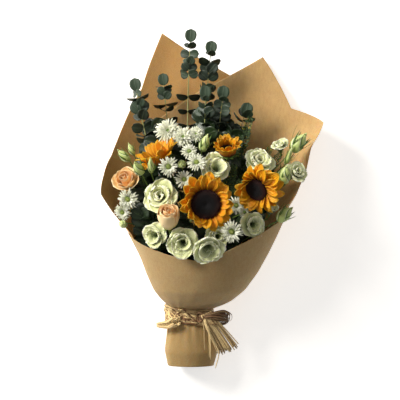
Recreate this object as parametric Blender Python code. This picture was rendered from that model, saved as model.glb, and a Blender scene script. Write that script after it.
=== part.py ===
"""A hand-tied bouquet of sunflowers, lisianthus, roses, spray chrysanthemums and eucalyptus, wrapped in
three sheets of kraft paper and tied with raffia. It lies on its back, as a bunch with no vase does.

+X is to the right seen from above with the stem ends nearest, +Y runs from the stem ends to the leaf tips
and +Z is up. The origin is on the surface that it lies on, under the flat of the paper's back.
Design numbers are in millimetres, and the meshes are written in metres.
"""

import math
import random

import bmesh
import bpy
from mathutils import Matrix, Vector
from mathutils.geometry import interpolate_bezier

MM = 0.001
SEED = 7
SHARP_ANGLE = math.radians(35)

# Half the thickness of petals where they grow together; they are thinner further out.
RAY_ROOT = 1.3
PETAL_ROOT = 1.2
FLORET_ROOT = 0.8

LEAF_THICK = 1.4
FROND_THICK = 1.6
LEAF_STEP = 20
LEAF_SIDES = 6
STEM_SIDES = 5
DISC_SIDES = 14
SUNFLOWER_RAYS = 17
BRACTS = 7
RAYS = 11
EYE_NECK = 3

# Thickness of each kind of stem under its flower or at its tip, and at its cut end or fork.
STEMS = {"sunflower": (5.6, 7), "rose": (3.6, 5), "spray": (2.4, 4.4), "branch": (2.2, 2.4), "leafy": (2, 4)}

# Outer section of the wrap at stations along Y: Y, centre X, left and right half-width, underside, height.
# The sleeve round the stems comes first, then the tie at Y -221, then the cone that opens to the flowers.
WRAP_SECTIONS = (
    (-319, -18, 43, 43, -3, 68),
    (-286, -17, 50, 51, -2, 74),
    (-234, -20, 42, 42, 8, 60),
    (-206, -20, 42, 42, 9, 58),
    (-200, -20, 42, 60, 8, 70),
    (-193, -18, 47, 72, 6, 86),
    (-188, -12, 60, 74, 5, 96),
    (-168, -1, 85, 86, 1, 120),
    (-134, 3, 104, 105, -3, 141),
    (-96, 6, 121, 122, -5, 159),
    (-60, 5, 137, 139, -6, 174),
    (-25, 0, 160, 160, -7, 188),
    (10, -2, 182, 182, -8, 198),
    (50, 0, 188, 197, -8, 203),
    (98, 0, 192, 207, -8, 206),
    (145, 0, 195, 242, -8, 208),
    (260, 0, 212, 262, -7, 210),
    (325, 0, 218, 268, -3, 210),
)
PAPER_THICK = 1.0
LAYER_STEP = 1.8

# How much shorter the sleeve is on top than underneath.
FOOT_SLANT = 7

# Folds of all three sheets, in degrees round the wrap from its top: 90 is the right side, 180 underneath.
FOLDS = (-132, -118, -104, -90, -75, -60, -45, -30, -15, 0, 15, 30, 45, 60, 75, 90, 104, 119, 134, 152, 166,
         182, 199, 214)

# Corners of each sheet's rim: degrees round the wrap, and Y. Layer 0 is the outermost sheet.
SHEETS = {
    "wrap_front": dict(layer=0, rim=((-132, -150), (-104, -66), (-90, -60), (-30, -98), (0, -110), (45, -63),
                                     (75, -30), (90, -22), (104, -39), (134, -130))),
    "wrap_back_left": dict(layer=1, rim=((152, 207), (200, 325), (214, 215), (242, 86), (256, 45), (270, 10),
                                         (285, -60))),
    "wrap_back_right": dict(layer=2, rim=((75, -30), (90, 96), (104, 144), (134, 176), (152, 278),
                                          (166, 245), (214, 137))),
}

TIE_CENTRE = Vector((-20, -220, 38))
STEM_CUT_Y = -304
STEM_PITCH = 8.6

# Loose ends and loops of the tie, each from the knot, and its first and last thickness.
KNOT = Vector((0, -217, 77))
RAFFIA_ENDS = (
    (((-30, -226, 84), (-62, -232, 76), (-78, -238, 62), (-70, -243, 56), (-44, -240, 77)), (6, 3)),
    (((22, -214, 84), (46, -212, 76), (58, -222, 66), (48, -234, 62), (24, -230, 76)), (6, 4)),
    (((14, -236, 82), (26, -262, 74), (37, -286, 54)), (7, 2.5)),
    (((18, -233, 80), (36, -261, 68), (53, -288, 46)), (7, 2.5)),
    (((22, -229, 78), (46, -250, 62), (69, -274, 42)), (6, 2)),
    (((4, -240, 82), (8, -262, 79), (10, -286, 78)), (4, 1.6)),
    (((12, -240, 80), (24, -276, 74), (28, -316, 66)), (6, 3)),
)

# Blooms: where the middle of the face is, which way it faces, and its radius.
SUNFLOWERS = {
    "centre": dict(face=(10, -7, 178), facing=(0.05, -0.2, 1), disc=24, ray_length=25, lift=0.35, slot=(0, 1)),
    "right": dict(face=(99, 19, 152), facing=(-0.6, -0.5, 0.75), disc=21, ray_length=25, lift=0.45, slot=(2, 1)),
    "top": dict(face=(49, 88, 122), facing=(-0.05, 0.75, 0.6), disc=16, ray_length=10, lift=2.4, slot=(2, -1)),
    "left": dict(face=(-72, 73, 112), facing=(-0.4, 0.75, 0.4), disc=18, ray_length=29, lift=1.15, slot=(-2, 0)),
}
ROSES = {
    "left": dict(face=(-137, 41, 120), facing=(-0.3, 0.45, 0.9), radius=22.5, depth=32, slot=(-3, 0)),
    "front": dict(face=(-56, -19, 181), facing=(-0.05, 0.72, 0.7), radius=20.5, depth=39, slot=(-2, 2)),
}
LISIANTHUS = {
    "1": dict(face=(-72, 8, 150), facing=(-0.2, 0.35, 1), radius=30.5),
    "2": dict(face=(29, 59, 136), facing=(0.15, 0.5, 1), radius=26),
    "3": dict(face=(107, 72, 130), facing=(0.3, 0.6, 1), radius=27),
    "4": dict(face=(-31, -75, 166), facing=(-0.05, -0.1, 1), radius=26),
    "5": dict(face=(14, -86, 178), facing=(0.1, -0.5, 0.9), radius=27.5),
    "6": dict(face=(32, -64, 142), facing=(0.1, 0.1, 1), radius=18),
    "7": dict(face=(96, -44, 144), facing=(0.35, -0.05, 1), radius=22),
    "8": dict(face=(-82, -64, 138), facing=(-0.45, -0.1, 1), radius=21),
    "9": dict(face=(144, 100, 112), facing=(-0.2, 0.9, 0.7), radius=17),
    "10": dict(face=(176, 51, 116), facing=(0.4, 0.5, 0.8), radius=18),
    "11": dict(face=(127, -13, 130), facing=(0.2, 0.9, 0.6), radius=16),
}

# Spray chrysanthemums: heads that touch are one white body. Face, facing, radius.
CHRYSANTHEMUMS = {
    "top": (((-58, 125, 97.5), (-0.2, 0.5, 1), 24), ((-30, 113, 109), (-0.2, 0.5, 1), 22),
            ((-7, 118, 111), (-0.2, 0.5, 1), 16)),
    "middle": (((-19, 86, 136), (-0.1, 0.5, 1), 16), ((-6, 66, 147), (-0.1, 0.5, 1), 19)),
    "centre": (((-55, 58, 160), (0, 0.1, 1), 19),),
    "inner": (((-28, 36, 148), (0, 0.3, 1), 18),),
    "left": (((-129, 2, 122), (-0.3, -0.3, 1), 21), ((-140, -22, 112), (-0.3, -0.3, 1), 17)),
    "right": (((64, -10, 134), (0.2, 0.2, 1), 18), ((79, -22, 133.4), (0.2, 0.2, 1), 12)),
    "front": (((55, -54, 176), (-0.15, -0.3, 1), 22),),
}

# Branched stems: what each carries and its place in the tie, counted in stem pitches from the middle.
# A bud is its foot, where it points, its length and its radius.
LISIANTHUS_SPRAYS = {
    "front": dict(slot=(0, 2), blooms=("5", "4", "6"), buds=()),
    "left": dict(slot=(-2, 1), blooms=("1", "8"), buds=(((-104, 46, 134), (-0.3, 0.6, 0.7), 34, 8),
                                                        ((-86, 48, 142), (0.0, 0.7, 0.7), 38, 5))),
    "middle": dict(slot=(0, 0), blooms=("2",), buds=(((3, 87, 118), (0.3, 0.85, 0.4), 36, 8),)),
    "back_right": dict(slot=(2, 0), blooms=("3", "9"), buds=(((166, 88, 104), (0.6, 0.75, 0.25), 44, 11),
                                                             ((154, 64, 106), (0.35, 0.9, 0.4), 40, 4))),
    "right": dict(slot=(3, 1), blooms=("10",), buds=(((148, 30, 114), (0.2, 0.9, 0.45), 36, 11),)),
    "front_right": dict(slot=(2, 2), blooms=("7", "11"), buds=(((138, -37, 130), (0.65, 0.6, 0.3), 38, 10),)),
    "back_left": dict(slot=(-3, -1), blooms=(), buds=(((-128, 70, 100), (-0.7, 0.7, 0.3), 32, 7),
                                                      ((-121, 82, 92), (-0.4, 0.9, 0.3), 26, 5))),
}
CHRYSANTHEMUM_SPRAYS = {
    "left": dict(slot=(-3, 1), heads=("left",), buds=(((-137, -42, 112), (-0.4, -0.4, 0.8), 11, 7),)),
    "back": dict(slot=(-1, -1), heads=("top",), buds=()),
    "middle": dict(slot=(-1, 0), heads=("middle", "centre", "inner"),
                   buds=(((-32, 62, 130), (0.0, 0.5, 1.0), 11, 7),)),
    "right": dict(slot=(1, 2), heads=("right", "front"), buds=()),
}

# Eucalyptus: tip, a point that the stem is drawn towards, leaf pairs, leaf radius, place in the tie.
EUCALYPTUS = {
    "tall": dict(tip=(-18, 297, 60), via=(-30, 120, 42), pairs=9, leaf=11, slot=(0, -2)),
    "second": dict(tip=(20, 277, 50), via=(4, 120, 36), pairs=9, leaf=11.5, slot=(1, -2)),
    "third": dict(tip=(-69, 219, 36), via=(-60, 110, 26), pairs=6, leaf=11, slot=(-1, -2)),
    "left": dict(tip=(-119, 205, 62), via=(-100, 90, 52), pairs=6, leaf=11.5, slot=(-2, -1)),
    "middle": dict(tip=(10, 187, 86), via=(10, 90, 74), pairs=4, leaf=11.5, slot=(0, -1)),
    "right": dict(tip=(42, 188, 74), via=(34, 100, 62), pairs=5, leaf=12, slot=(1, -1)),
    "short": dict(tip=(84, 159, 60), via=(60, 80, 48), pairs=4, leaf=12, slot=(2, -2)),
}
FRONDS = {
    "back": dict(tip=(92, 150, 92), via=(64, 60, 60), slot=(3, -1), width=13, teeth=8),
    "right": dict(tip=(130, 96, 74), via=(90, 30, 60), slot=(3, 0), width=13, teeth=8),
    "middle": dict(tip=(62, 62, 118), via=(44, -10, 90), slot=(1, 0), width=14, teeth=8),
}
LEAFY_STEM = dict(tip=(-103, -24, 112), via=(-103, -72, 90), slot=(-4, 0), leaf=13, pairs=4)

# Base colour and roughness of each finish.
FINISHES = {
    "kraft": ((0.55, 0.36, 0.17), 0.85),
    "raffia": ((0.62, 0.44, 0.2), 0.8),
    "sunflower_ray": ((0.9, 0.38, 0.01), 0.6),
    "sunflower_disc": ((0.035, 0.01, 0.008), 0.95),
    "lisianthus": ((0.68, 0.76, 0.45), 0.6),
    "rose": ((0.9, 0.5, 0.25), 0.6),
    "chrysanthemum": ((0.82, 0.83, 0.66), 0.65),
    "green": ((0.19, 0.32, 0.07), 0.6),
    "eucalyptus": ((0.06, 0.14, 0.08), 0.65),
    "filler": ((0.13, 0.17, 0.04), 0.7),
    "dark_leaf": ((0.02, 0.06, 0.02), 0.6),
}


def add_object(name, shell, finish):
    """An object of its own material, from points in millimetres and faces."""
    points, faces = shell
    mesh = bpy.data.meshes.new(name)
    mesh.from_pydata([Vector(p) * MM for p in points], [], faces)
    bm = bmesh.new()
    bm.from_mesh(mesh)
    bmesh.ops.triangulate(bm, faces=[f for f in bm.faces if len(f.verts) == 4])
    bmesh.ops.recalc_face_normals(bm, faces=bm.faces)
    if bm.calc_volume(signed=True) < 0:
        bmesh.ops.reverse_faces(bm, faces=bm.faces)
    bm.to_mesh(mesh)
    bm.free()
    mesh.shade_smooth()
    mesh.set_sharp_from_angle(angle=SHARP_ANGLE)
    matter = bpy.data.materials.new(name)
    matter.use_nodes = True
    shader = matter.node_tree.nodes["Principled BSDF"]
    colour, roughness = FINISHES[finish]
    shader.inputs["Base Color"].default_value = (*colour, 1)
    shader.inputs["Roughness"].default_value = roughness
    shader.inputs["Metallic"].default_value = 0.0
    mesh.materials.append(matter)
    obj = bpy.data.objects.new(name, mesh)
    bpy.context.scene.collection.objects.link(obj)
    return obj


def add_fused(name, shells, finish):
    """One object from overlapping closed shells, joined by one union."""
    body = add_object(name, shells[0], finish)
    others = bpy.data.collections.new(name + "_pieces")
    bpy.context.scene.collection.children.link(others)
    for shell in shells[1:]:
        piece = add_object(name + "_piece", shell, finish)
        bpy.context.scene.collection.objects.unlink(piece)
        others.objects.link(piece)
    join = body.modifiers.new("join", "BOOLEAN")
    join.operation = "UNION"
    join.operand_type = "COLLECTION"
    join.collection = others
    join.solver = "MANIFOLD"
    graph = bpy.context.evaluated_depsgraph_get()
    whole = bpy.data.meshes.new_from_object(body.evaluated_get(graph))
    whole.shade_smooth()
    whole.set_sharp_from_angle(angle=SHARP_ANGLE)
    body.modifiers.clear()
    body.data = whole
    whole.materials.clear()
    whole.materials.append(bpy.data.materials[name])
    for piece in list(others.objects):
        bpy.data.objects.remove(piece, do_unlink=True)
    bpy.data.collections.remove(others)
    return body


# Shapes. Each gives a closed shell as points and faces.

def placed(shell, matrix):
    points, faces = shell
    return [matrix @ Vector(p) for p in points], faces


def aimed(place, facing):
    """Where a flower stands: its own Z along facing."""
    turn = Vector(facing).to_track_quat("Z", "Y").to_matrix().to_4x4()
    return Matrix.Translation(Vector(place)) @ turn


def turned(profile, sides):
    """A solid of revolution from (radius, height) down its side, closed with flat ends."""
    points, faces = [], []
    for radius, height in profile:
        for k in range(sides):
            angle = 2 * math.pi * k / sides
            points.append(Vector((radius * math.cos(angle), radius * math.sin(angle), height)))
    for ring in range(len(profile) - 1):
        for k in range(sides):
            near, far = ring * sides + k, ring * sides + (k + 1) % sides
            faces.append((near, far, far + sides, near + sides))
    faces.append(tuple(range(sides)))
    faces.append(tuple(range(len(points) - sides, len(points))))
    return points, faces


def tapered(path, first, last):
    """A route for strand along a path, from its first to its last thickness."""
    return [(place, first + (last - first) * k / (len(path) - 1)) for k, place in enumerate(path)]


def strand(route, sides, flat=1.0):
    """A tube through (place, thickness) in turn; flat squashes it."""
    path = [Vector(place) for place, _ in route]
    ends = len(path) - 1
    side = (path[-1] - path[0]).cross(Vector((0, 0, 1)))
    points, faces = [], []
    for k, (place, (_, thickness)) in enumerate(zip(path, route)):
        ahead = (path[min(k + 1, ends)] - path[max(k - 1, 0)]).normalized()
        side = (side - ahead * side.dot(ahead)).normalized()
        up = side.cross(ahead)
        for n in range(sides):
            angle = 2 * math.pi * (n + 0.5) / sides
            points.append(place + (side * math.cos(angle) + up * flat * math.sin(angle)) * thickness / 2)
    for k in range(ends):
        for n in range(sides):
            near, far = k * sides + n, k * sides + (n + 1) % sides
            faces.append((near, far, far + sides, near + sides))
    faces.append(tuple(range(sides)))
    faces.append(tuple(range(len(points) - sides, len(points))))
    return points, faces


def star(rays, inner, notch, height, thick, hole):
    """Rays grown together at their roots, round a hole or a flat plate. Each ray is where its widest
    part and its tip are, as (out, up), and its half-width; notch is where two of them part."""
    points, faces = [], []
    count = len(rays)
    for k, (wide, tip, half) in enumerate(rays):
        root, axis = (2 * math.pi * (k + n) / count for n in (0, 0.5))
        along = Vector((math.cos(axis), math.sin(axis), 0))
        across = Vector((-along.y, along.x, 0))
        for radius, z in ((inner, height + thick), (inner, height - thick), (notch, height)):
            points.append(Vector((radius * math.cos(root), radius * math.sin(root), z)))
        middle = along * wide[0] + Vector((0, 0, wide[1]))
        points += [middle + Vector((0, 0, thick / 2)), middle - Vector((0, 0, thick / 2)),
                   middle - across * half, middle + across * half, along * tip[0] + Vector((0, 0, tip[1]))]
    for k in range(count):
        top, under, near, mid_top, mid_under, left, right, end = range(8 * k, 8 * k + 8)
        top_on, under_on, far = (8 * ((k + 1) % count) + n for n in range(3))
        for root, root_on, middle in ((top, top_on, mid_top), (under, under_on, mid_under)):
            faces += [(root, near, middle), (root, middle, root_on), (root_on, middle, far),
                      (near, left, middle), (left, end, middle), (end, right, middle), (right, far, middle)]
        if hole:
            faces.append((top, top_on, under_on, under))
    if not hole:
        faces += [tuple(range(0, 8 * count, 8)), tuple(range(1, 8 * count, 8))]
    return points, faces


def round_leaf(length, half, thick):
    """A round leaf with a thick middle, growing from its own origin along X."""
    points = [Vector((length * 0.5, 0, thick / 2)), Vector((length * 0.5, 0, -thick / 2))]
    for k in range(LEAF_SIDES):
        angle = math.pi + 2 * math.pi * k / LEAF_SIDES
        points.append(Vector((length * (0.5 + 0.5 * math.cos(angle)), half * math.sin(angle), 0)))
    faces = []
    for k in range(LEAF_SIDES):
        near, far = 2 + k, 2 + (k + 1) % LEAF_SIDES
        faces += [(0, near, far), (1, far, near)]
    return points, faces


def feathered(path, width, thick):
    """A frond: leaflets cut to the rib in one thin blade that follows a path."""
    points, faces = [], []
    last = len(path) - 1
    for k, place in enumerate(path):
        ahead = (path[min(k + 1, last)] - path[max(k - 1, 0)]).normalized()
        side = ahead.cross(Vector((0, 0, 1))).normalized()
        up = side.cross(ahead)
        reach = width * (1 - 0.7 * k / last)
        step = (path[min(k + 1, last)] - place) * 0.9
        points += [place + up * thick / 2, place - up * thick / 2]
        for hand in (-1, 1):
            points += [place + side * hand * reach * 0.2, place + step + side * hand * reach - up * reach * 0.2]
    for k in range(last):
        top, under = 6 * k, 6 * k + 1
        for notch in (6 * k + 2, 6 * k + 4):
            for rib in (top, under):
                faces += [(rib, notch, notch + 1), (rib, notch + 1, notch + 6), (rib, notch + 6, rib + 6)]
    for k in (0, last):
        faces.append((6 * k, 6 * k + 2, 6 * k + 1, 6 * k + 4))
    used = sorted({corner for face in faces for corner in face})
    place_of = {corner: n for n, corner in enumerate(used)}
    return [points[corner] for corner in used], [tuple(place_of[c] for c in face) for face in faces]


# The wrap and its tie.

def section_at(y):
    """Centre X, left and right half-width, underside and height of the wrap at y."""
    for low, high in zip(WRAP_SECTIONS, WRAP_SECTIONS[1:]):
        if y <= high[0]:
            break
    share = (y - low[0]) / (high[0] - low[0])
    return [a + (b - a) * share for a, b in zip(low[1:], high[1:])]


def wrap_point(degrees, y, inset):
    """A point of the wrap, so many millimetres in from its outside; the lowest layer is flat at Z 0."""
    centre, left, right, under, height = section_at(y)
    angle = math.radians(degrees)
    half = (right if math.sin(angle) > 0 else left) - inset
    z = under + inset + (height / 2 - inset) * (1 + math.cos(angle))
    return Vector((centre + half * math.sin(angle), y, max(z, inset - LAYER_STEP)))


def rim_at(rim, degrees):
    """Where a sheet ends on the fold at so many degrees."""
    for low, high in zip(rim, rim[1:]):
        if degrees <= high[0]:
            break
    return low[1] + (high[1] - low[1]) * (degrees - low[0]) / (high[0] - low[0])


def add_sheet(name, layer, rim):
    """A sheet of paper: its folds run up from the end of the sleeve to the rim."""
    folds = [f for turn in (0, 360) for f in (a + turn for a in FOLDS) if rim[0][0] <= f <= rim[-1][0]]
    points, faces, chains = [], [], []
    for degrees in folds:
        end = rim_at(rim, degrees)
        heights = [s[0] for s in WRAP_SECTIONS if s[0] < end - 5] + [end]
        heights[0] += FOOT_SLANT * (1 + math.cos(math.radians(degrees))) / 2
        chains.append(range(len(points), len(points) + 2 * len(heights), 2))
        for y in heights:
            points += [wrap_point(degrees, y, layer * LAYER_STEP + deep) for deep in (0, PAPER_THICK)]
    for near, far in zip(chains, chains[1:]):
        a = b = 0
        while a + 1 < len(near) or b + 1 < len(far):
            on_near = b + 1 == len(far) or (a + 1 < len(near) and points[near[a + 1]].y <= points[far[b + 1]].y)
            corner = near[a + 1] if on_near else far[b + 1]
            faces += [(near[a], corner, far[b]), (near[a] + 1, far[b] + 1, corner + 1)]
            a, b = (a + 1, b) if on_near else (a, b + 1)
        for foot, head in ((near[0], far[0]), (far[-1], near[-1])):
            faces.append((foot, head, head + 1, foot + 1))
    for chain in (chains[0], chains[-1]):
        for low, high in zip(chain, chain[1:]):
            faces.append((low, high, high + 1, low + 1))
    add_object(name, (points, faces), "kraft")


def add_tie():
    """The hank of raffia: a lumpy band round the neck, a knot on top of it, two loops and loose ends."""
    rng = random.Random(SEED)
    outline = ((-13, -0.8), (-11, -4), (0, -5.2), (10, -4), (12, -0.8))
    points, faces = [], []
    for degrees in FOLDS:
        lump = rng.uniform(-0.8, 0.3)
        for along, inset in outline:
            points.append(wrap_point(degrees, TIE_CENTRE.y + along, inset + (lump if inset < -3 else 0)))
    corners = len(outline)
    for k in range(len(FOLDS)):
        for n in range(corners):
            near, far = k * corners, (k + 1) % len(FOLDS) * corners
            ahead = (n + 1) % corners
            faces.append((near + n, near + ahead, far + ahead, far + n))
    knot = placed(turned(((4, 7), (9, 1), (5, -7)), 7), Matrix.Translation(KNOT))
    shells = [(points, faces), knot]
    for ends, (first, last) in RAFFIA_ENDS:
        shells.append(strand(tapered([KNOT] + [Vector(p) for p in ends], first, last), 4, 0.5))
    add_fused("raffia_tie", shells, "raffia")


# Stems.

def tie_place(slot):
    column, row = slot
    return TIE_CENTRE + Vector((column, 0, row)) * STEM_PITCH


def stem_path(base, facing, slot):
    """From a flower's base down into the tie and on to the cut end."""
    tie = tie_place(slot)
    reach = (base - tie).length
    down = base - Vector(facing).normalized() * reach * 0.22
    curve = interpolate_bezier(base, down, tie + Vector((0, reach * 0.4, 0)), tie, 5)
    return curve + [Vector((tie.x, STEM_CUT_Y, tie.z))]


def leafy_path(tip, via, slot, step, leafy):
    """From a stem's tip to the tie, drawn towards via on its way, and on to the cut end: short steps
    along its leafy part, and longer ones where it is bare."""
    tie = tie_place(slot)
    parts = round((Vector(tip) - tie).length / step)
    curve = interpolate_bezier(Vector(tip), Vector(via), tie + Vector((0, 90, 0)), tie, parts + 1)
    return curve[:leafy + 1] + curve[leafy + 4:-1:4] + [tie, Vector((tie.x, STEM_CUT_Y, tie.z))]


def on_axis(place, facing, profile):
    """The straight end of a stem behind a flower: heights along its axis and thicknesses."""
    axis = Vector(facing).normalized()
    return [(Vector(place) + axis * height, thickness) for height, thickness in profile]


# Flowers.

def add_sunflower(name, face, facing, disc, ray_length, lift, slot):
    rng = random.Random(SEED + disc)
    stand = aimed(face, facing)
    rays = []
    for k in range(SUNFLOWER_RAYS):
        length = ray_length * rng.uniform(0.9, 1.04)
        rise = lift + (0.14 if k % 2 else -0.1)
        wide = length * 0.58
        rays.append(((disc + wide, -2 + rise * wide), (disc + length, -2 + rise * length * 0.85),
                     (disc + wide) * math.pi / SUNFLOWER_RAYS * 0.98))
    add_object(f"sunflower_{name}_rays",
               placed(star(rays, disc + 0.4, disc + 2, -1.8, RAY_ROOT, False), stand), "sunflower_ray")

    points, faces = [], []
    rings = ((1, 0), (1, 0.06), (0.82, 0.21), (0.56, 0.27), (0.28, 0.19))
    for n, (share, height) in enumerate(rings):
        for k in range(DISC_SIDES):
            angle = 2 * math.pi * (k + n / 2) / DISC_SIDES
            seed = 1.2 if n > 1 and (k + n) % 2 else 0
            radius = disc * share
            points.append(Vector((radius * math.cos(angle), radius * math.sin(angle), disc * height + seed)))
    for n in range(len(rings) - 1):
        for k in range(DISC_SIDES):
            near, far = n * DISC_SIDES + k, n * DISC_SIDES + (k + 1) % DISC_SIDES
            faces += [(near, far, near + DISC_SIDES), (far, far + DISC_SIDES, near + DISC_SIDES)]
    points.append(Vector((0, 0, disc * 0.12)))
    top = len(points) - 1
    for k in range(DISC_SIDES):
        faces.append((top - DISC_SIDES + k, top - DISC_SIDES + (k + 1) % DISC_SIDES, top))
    faces.append(tuple(range(DISC_SIDES)))
    add_object(f"sunflower_{name}_disc", placed((points, faces), stand), "sunflower_disc")

    bracts = [((disc * 0.95, -5.2), (disc + ray_length * 0.4, -5), disc * 0.28)] * BRACTS
    calyx = placed(star(bracts, disc * 0.55, disc * 0.7, -5.2, PETAL_ROOT, False), stand)
    neck = on_axis(face, facing, ((-5.4, disc), (-9, disc * 0.9), (-14, 6)))
    path = stem_path(neck[-1][0] - Vector(facing).normalized() * 4, facing, slot)
    stem = strand(neck + tapered(path, *STEMS["sunflower"]), STEM_SIDES)
    add_fused(f"sunflower_{name}_stem", [calyx, stem], "green")


def cupped_bloom(radius, depth, rows):
    """A cup of petals in nested rows, each row grown together at its foot. A row is its count of petals,
    the shares of the radius where they part, where they are widest and where they end, the height that
    they reach and how far round it is turned."""
    shells = []
    for level, (count, part, widest, reach, height, turn) in enumerate(rows):
        foot = -depth + PETAL_ROOT + 2.2 * level
        rise = height - foot
        petals = [((radius * widest, foot + rise * 0.66), (radius * reach, height),
                   radius * widest * math.tan(math.pi / count) * 0.86)] * count
        row = star(petals, radius * (0.17 - 0.03 * level), radius * part, foot, PETAL_ROOT, False)
        shells.append(placed(row, Matrix.Rotation(turn, 4, "Z")))
    return shells


def add_rose(name, face, facing, radius, depth, slot):
    stand = aimed(face, facing)
    rows = ((5, 0.55, 0.92, 1.0, 0, 0), (5, 0.2, 0.6, 0.58, 3, 0.6))
    heart = turned(((1, 3), (radius * 0.34, -3), (radius * 0.08, -depth + 3.4)), 5)
    shells = cupped_bloom(radius, depth, rows) + [heart]
    add_fused(f"rose_{name}_bloom", [placed(s, stand) for s in shells], "rose")
    sepals = [((radius * 0.4, -depth - 2), (radius * 0.75, -depth - 3), 2.4)] * 5
    calyx = placed(star(sepals, 2.6, 3.6, -depth - 2.4, PETAL_ROOT, False), stand)
    hip = on_axis(face, facing, ((-depth - 2.6, 8), (-depth - 6, 8), (-depth - 9, 4)))
    path = stem_path(hip[-1][0] - Vector(facing).normalized() * 4, facing, slot)
    stem = strand(hip + tapered(path, *STEMS["rose"]), STEM_SIDES)
    add_fused(f"rose_{name}_stem", [calyx, stem], "green")


def lisianthus_depth(radius):
    return radius * 0.95


def add_lisianthus(name, face, facing, radius):
    stand = aimed(face, facing)
    rows = ((5, 0.42, 0.8, 1.02, 0, 0), (3, 0.26, 0.42, 0.46, 2, 0.5))
    shells = cupped_bloom(radius, lisianthus_depth(radius), rows)
    add_fused(f"lisianthus_{name}_bloom", [placed(s, stand) for s in shells], "lisianthus")


def add_chrysanthemums(name, heads):
    shells = []
    for n, (face, facing, radius) in enumerate(heads):
        stand = aimed(face, facing)
        if len(heads) > 1:
            beside = stand.inverted() @ Vector(heads[n - 1 if n else 1][0])
            stand @= Matrix.Rotation(math.atan2(beside.y, beside.x) - math.pi / RAYS, 4, "Z")
        rays = []
        for k in range(RAYS):
            wave = 0.9 if k % 2 else -0.5
            rays.append(((radius * 0.72, 0.8 + wave), (radius, wave), radius * 0.72 * math.pi / RAYS * 0.96))
        head = star(rays, EYE_NECK / 2 + 0.8, radius * 0.4, 0, FLORET_ROOT, True)
        shells.append(placed(head, stand))
    if len(shells) > 1:
        add_fused(f"chrysanthemum_{name}_heads", shells, "chrysanthemum")
    else:
        add_object(f"chrysanthemum_{name}_heads", shells[0], "chrysanthemum")


def add_spray(name, slot, ends):
    """A branched stem. Each end is what it bears, as a straight run on the flower's axis, and where the
    flower faces; the first end's stem runs on to the cut, and the others branch from it."""
    first, facing = ends[0]
    trunk = stem_path(first[-1][0] - Vector(facing).normalized() * 3, facing, slot)
    shells = [strand(first + tapered(trunk, *STEMS["spray"]), STEM_SIDES)]
    ahead = (trunk[1] - trunk[3]).normalized()
    for k, (run, facing) in enumerate(ends[1:]):
        low = 1 + k % 2
        fork = trunk[low].lerp(trunk[low + 1], 0.3 + 0.2 * (k // 2))
        top = run[-1][0] - Vector(facing).normalized() * 3
        reach = (top - fork).length
        curve = interpolate_bezier(top, top - Vector(facing).normalized() * reach * 0.3,
                                   fork + ahead * reach * 0.35, fork, 3)
        shells.append(strand(run + tapered(curve, *STEMS["branch"]), STEM_SIDES))
    if len(shells) > 1:
        add_fused(name, shells, "green")
    else:
        add_object(name, shells[0], "green")


def bud_run(place, facing, length, radius):
    return on_axis(place, facing, ((length, 0.8), (length * 0.8, radius * 1.2), (length * 0.4, radius * 2),
                                   (length * 0.08, radius), (0, 2.6))), facing


def add_lisianthus_spray(name, slot, blooms, buds):
    ends = []
    for bloom in (LISIANTHUS[key] for key in blooms):
        foot = -lisianthus_depth(bloom["radius"])
        ends.append((on_axis(bloom["face"], bloom["facing"], ((foot - 0.5, 5), (foot - 4, 5), (foot - 7, 2.6))),
                     bloom["facing"]))
    ends += [bud_run(*bud) for bud in buds]
    add_spray(f"lisianthus_{name}_stem", slot, ends)


def add_chrysanthemum_spray(name, slot, heads, buds):
    ends = []
    for face, facing, radius in [head for group in heads for head in CHRYSANTHEMUMS[group]]:
        ends.append((on_axis(face, facing, ((4, radius * 0.34), (2.2, radius * 0.62),
                                            (1.4, EYE_NECK), (-1.3, EYE_NECK), (-1.3, radius * 0.42),
                                            (-6, 2.4))), facing))
    ends += [bud_run(*bud) for bud in buds]
    add_spray(f"chrysanthemum_{name}_stem", slot, ends)


# Foliage.

def leaf_pair(place, ahead, roll, size, spread, tilt):
    """Two round leaves on opposite sides of a stem: rolled round it, spread from it, and with their
    faces turned by tilt from straight up to along it."""
    side = ahead.cross(Vector((0, 0, 1))).normalized()
    up = side.cross(ahead)
    shells = []
    for hand in (-1, 1):
        out = (side * math.cos(roll) + up * math.sin(roll)) * hand
        along = (ahead * (1 - spread) + out * spread).normalized()
        across = (Vector((0, 0, 1)) * (1 - tilt) - ahead * tilt).cross(along).normalized()
        turn = Matrix((along, across, along.cross(across))).transposed().to_4x4()
        leaf = round_leaf(size * 2, size * 0.95, LEAF_THICK)
        shells.append(placed(leaf, Matrix.Translation(place + out * 0.7) @ turn))
    return shells


def add_leafy_stem(name, finish, tip, via, slot, pairs, leaf):
    """Pairs of round leaves up to one at the tip, smaller there, with each pair turned its own way."""
    rng = random.Random(name)
    path = leafy_path(tip, via, slot, LEAF_STEP, pairs + 1)
    ahead = (path[0] - path[1]).normalized()
    turn = ahead.to_track_quat("X", "Z").to_matrix().to_4x4()
    shells = [strand(tapered(path, *STEMS["leafy"]), 4),
              placed(round_leaf(leaf * 1.8, leaf * 0.85, LEAF_THICK), Matrix.Translation(path[0] - ahead) @ turn)]
    for k in range(pairs):
        ahead = (path[k] - path[k + 1]).normalized()
        size = leaf * (0.86 + 0.14 * min(1, k / 3)) * rng.uniform(0.88, 1.1)
        place = path[k].lerp(path[k + 1], 0.6)
        roll = math.radians(rng.uniform(0, 20) if k % 2 else rng.uniform(35, 60))
        shells += leaf_pair(place, ahead, roll, size, rng.uniform(0.55, 0.85), rng.uniform(0.05, 0.7))
    add_fused(name, shells, finish)


def add_frond(name, tip, via, slot, width, teeth):
    path = leafy_path(tip, via, slot, width, teeth)
    blade = feathered(path[:teeth + 1][::-1], width, FROND_THICK)
    add_fused(f"fern_{name}", [blade, strand(tapered(path[teeth - 1:], *STEMS["leafy"]), 4)], "filler")


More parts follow.
